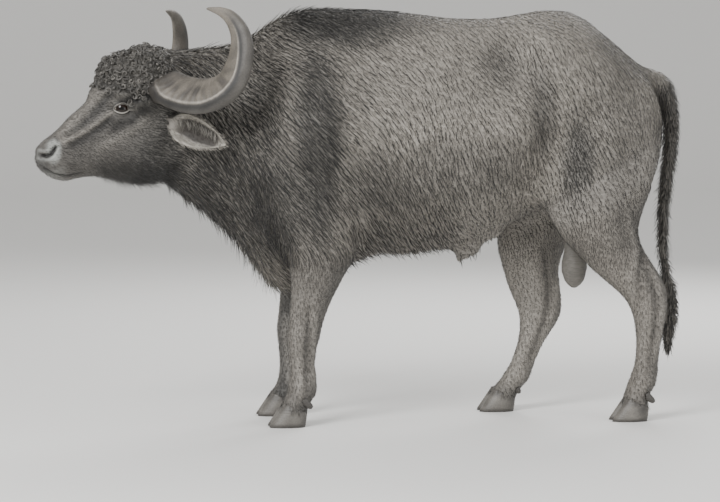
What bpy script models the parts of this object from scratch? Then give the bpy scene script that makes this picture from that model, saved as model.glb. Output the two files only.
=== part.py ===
"""Life-size water buffalo bull, standing square in front and stepping behind, head turned to its left.

Metres, +Z up. The animal faces -X, and its left side is at -Y. The flesh is lofted and fused as one body, its neck
is bent, and it is parted with thin cuts and given its eyes, curls, ears, horns, long hair and hooves.
"""

import math

import bmesh
import bpy
import numpy as np
from mathutils import Matrix, Vector

# Driving sizes
GAP = 0.0003
SKIN_VOXEL = 0.009
HEAD_TURN = math.radians(13)
NECK_BEND_FROM = -0.32
NECK_BEND_LENGTH = 0.30

# The head has its own frame: it starts between the ears and runs down the face at this slope.
HEAD_ORIGIN = (-0.700, 1.066)
HEAD_SLOPE = math.radians(24)
HEAD_STRETCH = 1.035

# Trunk and neck: place along the body, top, bottom, then half widths at 80, 50 and 20 % of the depth.
TRUNK = (
    (-0.70, 1.296, 0.880, 0.070, 0.090, 0.070),  # behind the ears
    (-0.62, 1.300, 0.802, 0.080, 0.112, 0.080),  # throat
    (-0.52, 1.306, 0.730, 0.092, 0.135, 0.085),
    (-0.44, 1.315, 0.660, 0.105, 0.160, 0.090),  # middle of the neck
    (-0.37, 1.340, 0.565, 0.122, 0.190, 0.098),  # point of the shoulder
    (-0.30, 1.390, 0.468, 0.142, 0.225, 0.108),  # front of the brisket
    (-0.22, 1.430, 0.445, 0.158, 0.252, 0.118),  # lowest point of the brisket
    (-0.10, 1.444, 0.495, 0.172, 0.276, 0.145),  # withers
    (0.05, 1.445, 0.575, 0.185, 0.292, 0.200),
    (0.20, 1.428, 0.592, 0.208, 0.325, 0.245),
    (0.36, 1.410, 0.610, 0.228, 0.350, 0.262),  # widest point of the belly
    (0.50, 1.411, 0.650, 0.232, 0.343, 0.240),
    (0.62, 1.430, 0.705, 0.232, 0.305, 0.200),  # flank
    (0.72, 1.441, 0.740, 0.228, 0.275, 0.170),  # croup
    (0.80, 1.419, 0.780, 0.212, 0.255, 0.150),
    (0.90, 1.345, 0.840, 0.180, 0.228, 0.130),
    (1.00, 1.262, 0.900, 0.130, 0.170, 0.100),  # tail root
    (1.06, 1.215, 0.980, 0.075, 0.095, 0.060),
)

# Head, in its own frame: place down the face, top, bottom, then the same three half widths.
HEAD = (
    (-0.130, 0.200, -0.100, 0.070, 0.085, 0.060),
    (-0.080, 0.222, -0.160, 0.100, 0.104, 0.072),  # poll, where the horns grow
    (0.000, 0.232, -0.196, 0.106, 0.104, 0.076),  # forehead
    (0.075, 0.214, -0.208, 0.093, 0.104, 0.078),  # eyes above, cheeks below
    (0.145, 0.174, -0.186, 0.072, 0.088, 0.067),
    (0.200, 0.143, -0.153, 0.061, 0.076, 0.058),
    (0.265, 0.119, -0.112, 0.053, 0.066, 0.050),  # bridge of the nose
    (0.325, 0.093, -0.089, 0.053, 0.065, 0.047),
    (0.370, 0.082, -0.079, 0.057, 0.070, 0.048),  # nostrils
    (0.400, 0.073, -0.053, 0.055, 0.067, 0.048),
    (0.420, 0.058, -0.020, 0.043, 0.055, 0.040),
    (0.433, 0.036, 0.006, 0.020, 0.026, 0.020),  # end of the muzzle
)

# Joints of a fore leg as (along, across, up). The fore legs stand level, the right hind leg steps forward.
FORE_JOINTS = (
    (-0.125, 0.170, 0.640),  # elbow
    (-0.196, 0.158, 0.308),  # knee
    (-0.200, 0.152, 0.135),  # fetlock
    (-0.226, 0.156, 0.074),  # coronet
    (-0.250, 0.160, 0.030),
)
# Hind legs as level sections: height, front edge, rear edge, middle across and half width.
HIND_ROWS = {
    "left": (
        (1.180, 0.780, 0.980, 0.110, 0.070),
        (1.080, 0.700, 1.055, 0.128, 0.115),  # hip
        (0.940, 0.640, 1.068, 0.145, 0.128),
        (0.840, 0.630, 1.040, 0.160, 0.124),  # thigh
        (0.740, 0.640, 1.000, 0.172, 0.110),  # stifle
        (0.660, 0.690, 0.982, 0.172, 0.092),
        (0.590, 0.752, 1.012, 0.166, 0.074),  # gaskin
        (0.525, 0.818, 1.058, 0.160, 0.062),
        (0.470, 0.885, 1.086, 0.158, 0.056),
        (0.430, 0.930, 1.094, 0.157, 0.053),  # hock
        (0.380, 0.960, 1.092, 0.157, 0.052),
        (0.330, 0.972, 1.082, 0.157, 0.048),
        (0.270, 0.976, 1.070, 0.158, 0.041),
        (0.200, 0.970, 1.060, 0.159, 0.039),  # cannon
        (0.150, 0.954, 1.058, 0.160, 0.046),
        (0.125, 0.944, 1.052, 0.161, 0.050),  # fetlock
        (0.095, 0.934, 1.032, 0.163, 0.050),
        (0.065, 0.928, 1.016, 0.164, 0.055),  # coronet
        (0.030, 0.920, 1.005, 0.165, 0.055),
    ),
    "right": (
        (1.180, 0.760, 0.960, 0.110, 0.070),
        (1.080, 0.670, 1.045, 0.128, 0.115),  # hip
        (0.940, 0.600, 1.045, 0.145, 0.128),
        (0.840, 0.570, 0.995, 0.160, 0.124),  # thigh
        (0.740, 0.545, 0.915, 0.172, 0.110),  # stifle
        (0.660, 0.535, 0.850, 0.172, 0.092),
        (0.590, 0.540, 0.800, 0.166, 0.076),  # gaskin
        (0.520, 0.557, 0.775, 0.160, 0.062),
        (0.440, 0.583, 0.778, 0.158, 0.056),
        (0.390, 0.606, 0.785, 0.157, 0.053),  # hock
        (0.340, 0.622, 0.778, 0.157, 0.052),
        (0.300, 0.624, 0.754, 0.157, 0.048),
        (0.235, 0.613, 0.712, 0.158, 0.041),
        (0.170, 0.590, 0.684, 0.159, 0.040),  # cannon
        (0.130, 0.566, 0.672, 0.160, 0.046),
        (0.105, 0.550, 0.660, 0.161, 0.050),  # fetlock
        (0.085, 0.536, 0.638, 0.163, 0.050),
        (0.065, 0.522, 0.612, 0.164, 0.055),  # coronet
        (0.030, 0.505, 0.598, 0.165, 0.055),
    ),
}
# Fore leg sections: place in joints, then how far the flesh reaches ahead, behind and to each side.
FORE_SECTIONS = (
    (0.00, 0.150, 0.135, 0.088),
    (0.33, 0.098, 0.096, 0.072),
    (0.60, 0.071, 0.071, 0.058),
    (0.85, 0.060, 0.062, 0.050),
    (1.00, 0.060, 0.061, 0.054),  # knee
    (1.15, 0.052, 0.055, 0.047),
    (1.40, 0.046, 0.051, 0.039),
    (1.70, 0.045, 0.053, 0.039),  # cannon
    (1.90, 0.049, 0.056, 0.047),
    (2.00, 0.051, 0.058, 0.051),  # fetlock
    (2.50, 0.044, 0.047, 0.050),
    (3.00, 0.045, 0.042, 0.056),  # coronet
    (4.00, 0.045, 0.042, 0.056),
)

# Tail: along, up and radius, down the bony dock and into the switch.
TAIL = (
    (1.030, 1.200, 0.042),
    (1.090, 1.182, 0.040),
    (1.124, 1.110, 0.034),
    (1.137, 1.020, 0.029),
    (1.134, 0.930, 0.026),
    (1.121, 0.830, 0.024),
    (1.111, 0.720, 0.022),
    (1.111, 0.600, 0.021),
    (1.120, 0.520, 0.019),
    (1.132, 0.460, 0.018),
    (1.139, 0.390, 0.016),
    (1.136, 0.310, 0.014),
    (1.132, 0.240, 0.010),
    (1.133, 0.200, 0.005),
)

# Soft forms pressed into the flesh: centre, reach in each direction, and how far the skin moves out.
FORMS = (
    ((-0.21, 0.26, 1.02), (0.13, 0.16, 0.24), 0.022),  # shoulder blade
    ((-0.16, 0.26, 0.76), (0.12, 0.14, 0.12), 0.010),  # triceps
    ((-0.060, 0.29, 1.00), (0.06, 0.16, 0.28), -0.011),  # groove behind the shoulder
    ((0.50, 0.26, 1.26), (0.10, 0.14, 0.11), -0.034),  # hollow of the flank
    ((0.615, 0.24, 1.350), (0.06, 0.12, 0.05), 0.022),  # hip bone
    ((0.640, 0.30, 0.98), (0.045, 0.16, 0.22), -0.014),  # groove ahead of the thigh
    ((0.80, 0.26, 0.96), (0.14, 0.18, 0.20), 0.020),  # thigh
    ((0.925, 0.24, 0.82), (0.035, 0.14, 0.17), -0.010),  # groove in the thigh
    ((-0.48, 0.16, 0.98), (0.16, 0.10, 0.06), 0.010),  # muscle of the neck
    ((-0.40, 0.17, 0.82), (0.14, 0.10, 0.035), -0.009),  # groove of the neck
)
HEAD_FORMS = (
    ((0.155, 0.085, 0.020), (0.050, 0.040, 0.035), -0.006),  # hollow ahead of the cheek
    ((0.020, 0.110, 0.070), (0.030, 0.040, 0.030), -0.007),  # temple
    ((0.240, 0.070, 0.062), (0.070, 0.030, 0.018), -0.005),  # side of the nose
    ((0.385, 0.060, 0.040), (0.030, 0.030, 0.030), 0.004),  # rim of the nostril
    ((0.300, 0.060, -0.030), (0.060, 0.040, 0.030), 0.004),  # upper lip
)

# Horn, as a path from the middle of its base: back, out from the head's middle, up, width, thickness.
HORN_BASE = (-0.7245, 1.185)
HORN = (
    (-0.026, 0.048, 0.010, 0.086, 0.046),  # inside the skull
    (0.014, 0.105, -0.006, 0.130, 0.082),
    (0.056, 0.168, -0.035, 0.140, 0.088),
    (0.097, 0.220, -0.049, 0.142, 0.088),
    (0.141, 0.278, -0.046, 0.134, 0.084),
    (0.182, 0.322, -0.018, 0.122, 0.078),
    (0.208, 0.345, 0.028, 0.108, 0.070),
    (0.226, 0.352, 0.105, 0.088, 0.058),
    (0.223, 0.337, 0.165, 0.072, 0.048),
    (0.206, 0.312, 0.207, 0.056, 0.040),
    (0.182, 0.277, 0.234, 0.038, 0.028),
    (0.136, 0.232, 0.246, 0.008, 0.008),  # tip
)
# Horn section in shares of its width and thickness: the keel is the corner that faces out.
HORN_SECTION = ((-0.50, 0.05), (-0.10, 0.38), (0.30, 0.50), (0.50, 0.05), (0.22, -0.42), (-0.28, -0.40))

# Eye, nostril and mouth in the head's frame
EYE_CENTRE = (0.110, 0.068, 0.080)
EYE_RADIUS = 0.028
EYE_LOOK = (0.22, 1.0, 0.06)
LID_RADII = (0.042, 0.034, 0.036)
EYE_OPENING = (0.047, 0.030)
NOSTRIL = (
    (0.415, 0.040, 0.006),
    (0.404, 0.029, 0.009),
    (0.388, 0.028, 0.009),
    (0.370, 0.036, 0.006),
    (0.355, 0.042, 0.003),
)
MOUTH = (
    (0.302, -0.074),
    (0.332, -0.065),
    (0.362, -0.056),
    (0.390, -0.040),
    (0.410, -0.018),
    (0.420, -0.006),
)

# Ear: root, direction to the tip and size; it opens outward.
EAR_ROOT = (-0.716, 0.084, 1.068)
EAR_WAY = (0.78, 0.51, -0.37)
EAR_OPENS = (-0.25, 0.90, -0.30)
EAR_LENGTH = 0.262
EAR_WIDTH = 0.112
# Ear: place from root to tip, share of its width, and how far its rims curl round in degrees.
EAR_ROWS = (
    (0.00, 0.30, 75),
    (0.15, 0.62, 92),
    (0.35, 0.93, 72),
    (0.50, 1.00, 52),
    (0.70, 0.82, 38),
    (0.88, 0.42, 26),
    (1.00, 0.05, 12),
)

# Curly crown: rows of rounded clumps as (place down the face, how many, widest angle in degrees).
CROWN_ROWS = (
    (-0.092, 4, 40),
    (-0.058, 5, 50),
    (-0.020, 6, 62),
    (0.018, 7, 80),
    (0.055, 7, 82),
    (0.092, 6, 72),
    (0.126, 4, 46),
    (0.154, 2, 16),
)
CLUMP_RADIUS = 0.031

# Long hair as flat locks: each row's start and end, how many, length, width and lie as (along, up).
CREST = ((-0.630, -0.110), 8, 0.066, 0.036, (0.99, 0.12))
THROAT = ((-0.640, -0.330), 8, 0.072, 0.040, (0.62, -0.78))
BRISKET = ((-0.330, -0.200), 3, 0.056, 0.038, (0.62, -0.78))
BELLY = ((0.080, 0.340), 6, 0.066, 0.042, (0.70, -0.71))
SWITCH_ROWS = (
    # height of the roots, how many, length, reach
    (0.515, 4, 0.170, 0.027),
    (0.435, 4, 0.175, 0.031),
    (0.350, 3, 0.155, 0.024),
)

# Hoof: each foot is two claws around a cleft, under a slanting coronet.
CLAW_LENGTH = 0.130
CLAW_OUTLINE = (
    (0.08, 0.007),
    (0.50, 0.005),
    (0.92, 0.008),
    (1.00, 0.024),
    (0.90, 0.044),
    (0.65, 0.057),
    (0.35, 0.059),
    (0.10, 0.049),
    (0.00, 0.028),
)
CORONET_FRONT = 0.085
CORONET_BACK = 0.050
TOE_SLOPE = 0.057
FEET = {
    "front_left": (-0.2545, -0.158),
    "front_right": (-0.2620, 0.158),
    "hind_left": (0.948, -0.166),
    "hind_right": (0.538, 0.166),
}


# Reading tables and making meshes


def smooth_rows(rows, places):
    """Reads a table whose first column is the place, each other column as one smooth curve."""
    rows = np.array(rows, float)
    at, values = rows[:, 0], rows[:, 1:]
    slopes = np.gradient(values, at, axis=0)
    k = np.clip(np.searchsorted(at, places, side="right") - 1, 0, len(at) - 2)
    step = (at[k + 1] - at[k])[:, None]
    t = (np.asarray(places) - at[k])[:, None] / step
    return (
        values[k] * (2 * t**3 - 3 * t**2 + 1)
        + slopes[k] * step * (t**3 - 2 * t**2 + t)
        + values[k + 1] * (3 * t**2 - 2 * t**3)
        + slopes[k + 1] * step * (t**3 - t**2)
    )


def smooth_path(points, count):
    """Resamples a table of points evenly by row number."""
    rows = [(i, *point) for i, point in enumerate(points)]
    return smooth_rows(rows, np.linspace(0, len(rows) - 1, count))


def closed_curve(corners, per_span):
    """A smooth closed curve through the corners."""
    corners = np.array(corners, float)
    slopes = (np.roll(corners, -1, 0) - np.roll(corners, 1, 0)) / 2
    t = (np.arange(per_span) / per_span)[None, :, None]
    a, b = corners[:, None], np.roll(corners, -1, 0)[:, None]
    u, v = slopes[:, None], np.roll(slopes, -1, 0)[:, None]
    curve = (
        a * (2 * t**3 - 3 * t**2 + 1)
        + u * (t**3 - 2 * t**2 + t)
        + b * (3 * t**2 - 2 * t**3)
        + v * (t**3 - t**2)
    )
    return curve.reshape(-1, corners.shape[1])


def section(top, bottom, high, middle, low):
    """A cross-section as (across, up) points, from its half widths at 80, 50 and 20 % of its depth."""
    depth = top - bottom
    side = [(high, bottom + 0.8 * depth), (middle, bottom + 0.5 * depth), (low, bottom + 0.2 * depth)]
    other = [(-across, up) for across, up in reversed(side)]
    return closed_curve([(0, top), *side, (0, bottom), *other], 4)


def new_object(name, mesh):
    obj = bpy.data.objects.new(name, mesh)
    bpy.context.scene.collection.objects.link(obj)
    return obj


def from_bmesh(name, bm):
    bmesh.ops.recalc_face_normals(bm, faces=bm.faces)
    mesh = bpy.data.meshes.new(name)
    bm.to_mesh(mesh)
    bm.free()
    return new_object(name, mesh)


def loft(name, rings):
    """A closed mesh through rings of equally many points."""
    bm = bmesh.new()
    loops = [[bm.verts.new(point) for point in ring] for ring in rings]
    for near, far in zip(loops, loops[1:]):
        for i in range(len(near)):
            j = (i + 1) % len(near)
            bm.faces.new((near[i], near[j], far[j], far[i]))
    bm.faces.new(loops[0])
    bm.faces.new(loops[-1])
    return from_bmesh(name, bm)


def apply_modifiers(obj):
    bpy.context.view_layer.update()
    graph = bpy.context.evaluated_depsgraph_get()
    mesh = bpy.data.meshes.new_from_object(obj.evaluated_get(graph))
    obj.modifiers.clear()
    obj.data = mesh


def remove(*objects):
    for obj in objects:
        bpy.data.objects.remove(obj)


def points_of(obj):
    points = np.empty(len(obj.data.vertices) * 3, np.float32)
    obj.data.vertices.foreach_get("co", points)
    return points.reshape(-1, 3).astype(float)


def set_points(obj, points):
    obj.data.vertices.foreach_set("co", points.astype(np.float32).ravel())
    obj.data.update()


def normals_of(obj):
    normals = np.empty(len(obj.data.vertices) * 3, np.float32)
    obj.data.vertex_normals.foreach_get("vector", normals)
    return normals.reshape(-1, 3).astype(float)


def combine(obj, other, operation, solver="EXACT"):
    modifier = obj.modifiers.new("combine", "BOOLEAN")
    modifier.operation = operation
    modifier.solver = solver
    modifier.object = other
    apply_modifiers(obj)


def keep_largest(obj):
    """Keeps the biggest closed surface of a mesh, which drops scraps and fills sealed hollows."""
    bm = bmesh.new()
    bm.from_mesh(obj.data)
    unseen = set(bm.verts)
    groups = []
    while unseen:
        front = [unseen.pop()]
        group = list(front)
        while front:
            vertex = front.pop()
            for edge in vertex.link_edges:
                other = edge.other_vert(vertex)
                if other in unseen:
                    unseen.remove(other)
                    group.append(other)
                    front.append(other)
        groups.append(group)
    groups.sort(key=len)
    scraps = [vertex for group in groups[:-1] for vertex in group]
    bmesh.ops.delete(bm, geom=scraps, context="VERTS")
    bm.to_mesh(obj.data)
    bm.free()


def copy_of(obj, name):
    return new_object(name, obj.data.copy())


def grown(obj, by=GAP):
    """A copy whose surface lies a little further out, which cuts a neighbour clear of obj."""
    copy = copy_of(obj, "grown")
    set_points(copy, points_of(copy) + normals_of(copy) * by)
    return copy


def cut_clear(obj, other, solver="EXACT"):
    """Cuts obj so that it stays a gap away from other."""
    cutter = grown(other)
    combine(obj, cutter, "DIFFERENCE", solver)
    keep_largest(obj)
    remove(cutter)


def box(name, low, high, matrix=Matrix.Identity(4)):
    bm = bmesh.new()
    bmesh.ops.create_cube(bm, size=1)
    bmesh.ops.scale(bm, vec=Vector(high) - Vector(low), verts=bm.verts)
    bmesh.ops.translate(bm, vec=(Vector(low) + Vector(high)) / 2, verts=bm.verts)
    bmesh.ops.transform(bm, matrix=matrix, verts=bm.verts)
    return from_bmesh(name, bm)


def ball(name, centre, radii, segments=20):
    bm = bmesh.new()
    bmesh.ops.create_uvsphere(bm, u_segments=segments, v_segments=segments // 2, radius=1)
    bmesh.ops.scale(bm, vec=radii, verts=bm.verts)
    bmesh.ops.translate(bm, vec=centre, verts=bm.verts)
    return from_bmesh(name, bm)


def part_off(whole, region, name):
    """Takes what lies in the region off whole, as a new object a gap away from the rest."""
    piece = copy_of(whole, name)
    combine(piece, region, "INTERSECT")
    keep_largest(piece)
    cutter = grown(region, GAP * math.sqrt(3))
    combine(whole, cutter, "DIFFERENCE")
    keep_largest(whole)
    remove(region, cutter)
    return piece


# Flesh


def side_sign(side):
    return -1 if side == "left" else 1


def head_point(along, across, up):
    """A point of the head's own frame in the body's frame."""
    cos, sin = math.cos(HEAD_SLOPE), math.sin(HEAD_SLOPE)
    x = HEAD_ORIGIN[0] - along * HEAD_STRETCH * cos - up * sin
    z = HEAD_ORIGIN[1] - along * HEAD_STRETCH * sin + up * cos
    return Vector((x, across, z))


def trunk():
    places = np.linspace(TRUNK[0][0], TRUNK[-1][0], 90)
    rings = []
    for x, row in zip(places, smooth_rows(TRUNK, places)):
        rings.append([(x, across, up) for across, up in section(*row)])
    return loft("trunk", rings)


def skull():
    places = np.linspace(HEAD[0][0], HEAD[-1][0], 60)
    rings = []
    for along, row in zip(places, smooth_rows(HEAD, places)):
        rings.append([head_point(along, across, up) for across, up in section(*row)])
    return loft("skull", rings)


def fore_leg(side):
    """Lofts a leg down the smooth line of its joints."""
    count = 12 * (len(FORE_JOINTS) - 1) + 1
    places = np.linspace(0, len(FORE_JOINTS) - 1, count)
    path = smooth_path(FORE_JOINTS, count)
    path[:, 1] *= side_sign(side)
    rings = []
    ways = np.gradient(path, axis=0)
    for centre, way, (ahead, behind, wide) in zip(path, ways, smooth_rows(FORE_SECTIONS, places)):
        forward = np.array([way[2], 0, -way[0]]) / math.hypot(way[0], way[2])
        ring = []
        for angle in np.linspace(0, 2 * math.pi, 24, endpoint=False):
            reach = ahead if math.cos(angle) > 0 else behind
            across = wide * math.sin(angle) * (1 - 0.12 * max(0, -math.cos(angle)))
            ring.append(centre + forward * reach * math.cos(angle) + np.array([0, across, 0]))
        rings.append(ring)
    return loft("fore_leg", rings)


def hind_leg(side):
    """Lofts a leg through its level sections."""
    rows = sorted(HIND_ROWS[side])
    places = np.linspace(rows[0][0], rows[-1][0], 80)
    rings = []
    for height, (front, back, middle, half) in zip(places, smooth_rows(rows, places)):
        ring = []
        for angle in np.linspace(0, 2 * math.pi, 24, endpoint=False):
            x = (front + back) / 2 - (back - front) / 2 * math.cos(angle)
            y = middle + half * math.sin(angle) * (1 - 0.15 * max(0, -math.cos(angle)))
            ring.append((x, y * side_sign(side), height))
        rings.append(ring)
    return loft("hind_leg", rings)


def tail(extra=0.0, first=0):
    """The tail from one of its rows on; extra thickens it."""
    path = smooth_path(TAIL[first:], 60)
    rings = []
    for (x, z, radius), (dx, dz, _) in zip(path, np.gradient(path, axis=0)):
        length = math.hypot(dx, dz)
        ring = []
        for angle in np.linspace(0, 2 * math.pi, 16, endpoint=False):
            reach = (radius + extra) * math.cos(angle)
            y = (radius + extra) * math.sin(angle)
            ring.append((x - dz / length * reach, y, z + dx / length * reach))
        rings.append(ring)
    return loft("tail_form", rings)


def fused_flesh():
    """Every fleshy form as one smooth closed body."""
    pieces = [trunk(), skull(), tail()]
    for side in ("left", "right"):
        sign = side_sign(side)
        pieces.append(fore_leg(side))
        pieces.append(hind_leg(side))
        pieces.append(ball("shoulder", (-0.200, 0.150 * sign, 0.92), (0.155, 0.098, 0.32)))
        pieces.append(ball("upper_arm", (-0.150, 0.165 * sign, 0.75), (0.160, 0.088, 0.22)))
        pieces.append(ball("buttock", (0.955, 0.112 * sign, 1.03), (0.126, 0.100, 0.20)))
        pieces.append(ball("orbit", head_point(0.100, 0.066 * sign, 0.086), (0.056, 0.034, 0.048)))
        pieces.append(ball("cheek", head_point(0.060, 0.060 * sign, -0.085), (0.080, 0.026, 0.090)))
    pieces.append(ball("crown", head_point(0.020, 0, 0.160), (0.108, 0.084, 0.074)))
    pieces.append(ball("scrotum", (0.790, 0.0, 0.535), (0.052, 0.050, 0.090)))
    pieces.append(ball("scrotum_neck", (0.780, 0.0, 0.680), (0.038, 0.030, 0.130)))
    pieces.append(ball("sheath", (0.455, 0.0, 0.640), (0.110, 0.026, 0.027)))
    pieces.append(ball("sheath_root", (0.415, 0.0, 0.590), (0.055, 0.026, 0.040)))
    pieces.append(ball("sheath_tip", (0.368, 0.0, 0.560), (0.026, 0.021, 0.040)))
    whole = pieces[0]
    bm = bmesh.new()
    for piece in pieces:
        bm.from_mesh(piece.data)
    bm.to_mesh(whole.data)
    bm.free()
    remove(*pieces[1:])
    whole.name = "flesh"
    remesh = whole.modifiers.new("skin", "REMESH")
    remesh.mode = "VOXEL"
    remesh.voxel_size = SKIN_VOXEL
    apply_modifiers(whole)
    return whole


def smooth(obj, iterations, weights=None):
    """Relaxes the skin, everywhere or by a weight for each vertex."""
    modifier = obj.modifiers.new("soften", "SMOOTH")
    modifier.factor = 0.5
    modifier.iterations = iterations
    if weights is not None:
        group = obj.vertex_groups.new(name="soft")
        for i, weight in enumerate(weights):
            group.add([i], float(weight), "REPLACE")
        modifier.vertex_group = group.name
    apply_modifiers(obj)
    obj.vertex_groups.clear()


def on_head(points):
    return np.clip((-0.56 - points[:, 0]) / 0.08, 0, 1)


def on_legs(points):
    return np.clip((0.57 - points[:, 2]) / 0.15, 0, 1)


def on_tail(points):
    return np.clip((points[:, 0] - 1.05) / 0.03, 0, 1)


def press(obj, forms, place=None):
    """Moves the skin out over muscles and bones, and in over hollows, on both sides."""
    points, normals = points_of(obj), normals_of(obj)
    for centre, reach, amount in forms:
        for sign in (-1, 1):
            middle = Vector((centre[0], centre[1] * sign, centre[2]))
            if place:
                middle = place(*middle)
            away = (points - np.array(middle)) / np.array(reach)
            near = np.exp(-(away**2).sum(axis=1))
            points += normals * (amount * near)[:, None]
    set_points(obj, points)


def thin_out(obj, weights, triangles):
    """Collapses edges where the weights are above zero, until only this many triangles lie there."""
    weights = (np.asarray(weights) > 0).astype(float)
    mesh = obj.data
    weighted = [face for face in mesh.polygons if all(weights[v] > 0 for v in face.vertices)]
    inside = sum(len(face.vertices) - 2 for face in weighted)
    total = sum(len(face.vertices) - 2 for face in mesh.polygons)
    group = obj.vertex_groups.new(name="thin")
    for i in np.nonzero(weights)[0]:
        group.add([int(i)], 1.0, "REPLACE")
    modifier = obj.modifiers.new("thin", "DECIMATE")
    modifier.ratio = (total - inside + triangles) / total
    modifier.use_collapse_triangulate = True
    modifier.vertex_group = group.name
    apply_modifiers(obj)
    obj.vertex_groups.clear()


def body_flesh():
    flesh = fused_flesh()
    points = points_of(flesh)
    fine = np.maximum.reduce([on_head(points), on_legs(points), on_tail(points)])
    smooth(flesh, 45, 1 - fine)
    smooth(flesh, 4)
    press(flesh, FORMS)
    press(flesh, HEAD_FORMS, head_point)
    points = points_of(flesh)
    thin_out(flesh, np.maximum.reduce([on_head(points), on_legs(points), on_tail(points)]) == 0, 1350)
    points = points_of(flesh)
    thin_out(flesh, np.maximum(on_legs(points), on_tail(points)) > 0, 1300)
    thin_out(flesh, on_head(points_of(flesh)) > 0, 1100)
    return flesh


# Head details


def eye_ball(sign, radius, name):
    return ball(name, head_point(EYE_CENTRE[0], EYE_CENTRE[1] * sign, EYE_CENTRE[2]), (radius,) * 3, 14)


def eye_opening(sign):
    """A lens-shaped prism that opens the lids in the direction the eye looks."""
    centre = head_point(EYE_CENTRE[0], EYE_CENTRE[1] * sign, EYE_CENTRE[2])
    look = Vector((-EYE_LOOK[0], EYE_LOOK[1] * sign, EYE_LOOK[2])).normalized()
    along = Vector((look.y * sign, -look.x * sign, 0)).normalized()
    up = along.cross(look).normalized()
    if up.z < 0:
        up = -up
    rings = []
    for out in (0.35 * EYE_RADIUS, 1.7 * EYE_RADIUS):
        ring = []
        for angle in np.linspace(0, 2 * math.pi, 20, endpoint=False):
            wide = EYE_OPENING[0] / 2 * math.cos(angle)
            high = EYE_OPENING[1] / 2 * math.sin(angle) * abs(math.sin(angle)) ** 0.35
            ring.append(centre + look * out + along * wide + up * high)
        rings.append(ring)
    return loft("opening", rings)


def surface_hit(obj, start, way):
    """Where a ray from inside obj leaves its skin."""
    hit, point, normal, _ = obj.ray_cast(Vector(start), Vector(way).normalized())
    return point, normal


def nostril(head, sign):
    """A comma-shaped hollow along the side of the muzzle."""
    path = smooth_path(NOSTRIL, 9)
    rings = []
    for i, (along, up, radius) in enumerate(path):
        point, normal = surface_hit(head, head_point(along - 0.010, 0.012 * sign, up), (-0.35, sign, 0))
        ahead = path[min(i + 1, len(path) - 1)] - path[max(i - 1, 0)]
        way = (head_point(ahead[0], 0, ahead[1]) - head_point(0, 0, 0)).normalized()
        side = way.cross(normal).normalized()
        centre = point - normal * 0.003
        ring = []
        for angle in np.linspace(0, 2 * math.pi, 8, endpoint=False):
            ring.append(centre + side * radius * math.cos(angle) + normal * 1.5 * radius * math.sin(angle))
        rings.append(ring)
    return loft("nostril", rings)


def mouth(head):
    """A wedge along the line of the lips, from one corner of the mouth round the muzzle to the other."""
    path = smooth_path(MOUTH, 9)
    turns = [90, 90, 90, 90, 88, 78, 60, 40, 18]
    stations = [(a, u, t) for (a, u), t in zip(path, turns)]
    stations = stations + [(path[-1][0], path[-1][1], 0)] + [(a, u, -t) for a, u, t in reversed(stations)]
    rings = []
    for along, up, turn in stations:
        turn = math.radians(turn)
        start = head_point(min(along, 0.372), 0, up + max(0, along - 0.372) * 0.0)
        way = Vector((-math.cos(turn), math.sin(turn), 0))
        point, normal = surface_hit(head, start, way)
        rise = Vector((0, 0, 1))
        rise = (rise - normal * rise.dot(normal)).normalized()
        outer = point + normal * 0.006
        rings.append([outer + rise * 0.0035, point - normal * 0.007, outer - rise * 0.0035])
    return loft("mouth", rings)


def finish_head(head):
    """Gives the head its lids, eye sockets, nostrils and mouth, and makes the eyes."""
    eyes = []
    cutters = [nostril(head, -1), nostril(head, 1), mouth(head)]
    for side in ("left", "right"):
        sign = side_sign(side)
        lids = ball("lids", head_point(EYE_CENTRE[0], EYE_CENTRE[1] * sign, EYE_CENTRE[2]), LID_RADII, 14)
        combine(head, lids, "UNION")
        remove(lids)
        cutters.append(eye_ball(sign, EYE_RADIUS + GAP, "socket"))
        cutters.append(eye_opening(sign))
        eyes.append(eye_ball(sign, EYE_RADIUS, f"eye_{side}"))
    for cutter in cutters:
        combine(head, cutter, "DIFFERENCE")
    keep_largest(head)
    remove(*cutters)
    return eyes


def horn(side):
    """A swept-back crescent with a flat face, a keel and a slim tip."""
    sign = side_sign(side)
    path = smooth_path(HORN, 16)
    ways = np.gradient(path[:, :3], axis=0)
    face = Vector((-0.45, 0.80, 0.40)).normalized()
    rings = []
    for (back, out, up, wide, thick), way in zip(path, ways):
        way = Vector(way).normalized()
        thickness = (face - way * face.dot(way)).normalized()
        width = thickness.cross(way).normalized()
        ring = []
        for across, over in closed_curve(HORN_SECTION, 2):
            point = Vector((back, out, up)) + width * across * wide + thickness * over * thick
            ring.append((HORN_BASE[0] + point.x, point.y * sign, HORN_BASE[1] + point.z))
        rings.append(ring)
    return loft(f"horn_{side}", rings)


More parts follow.
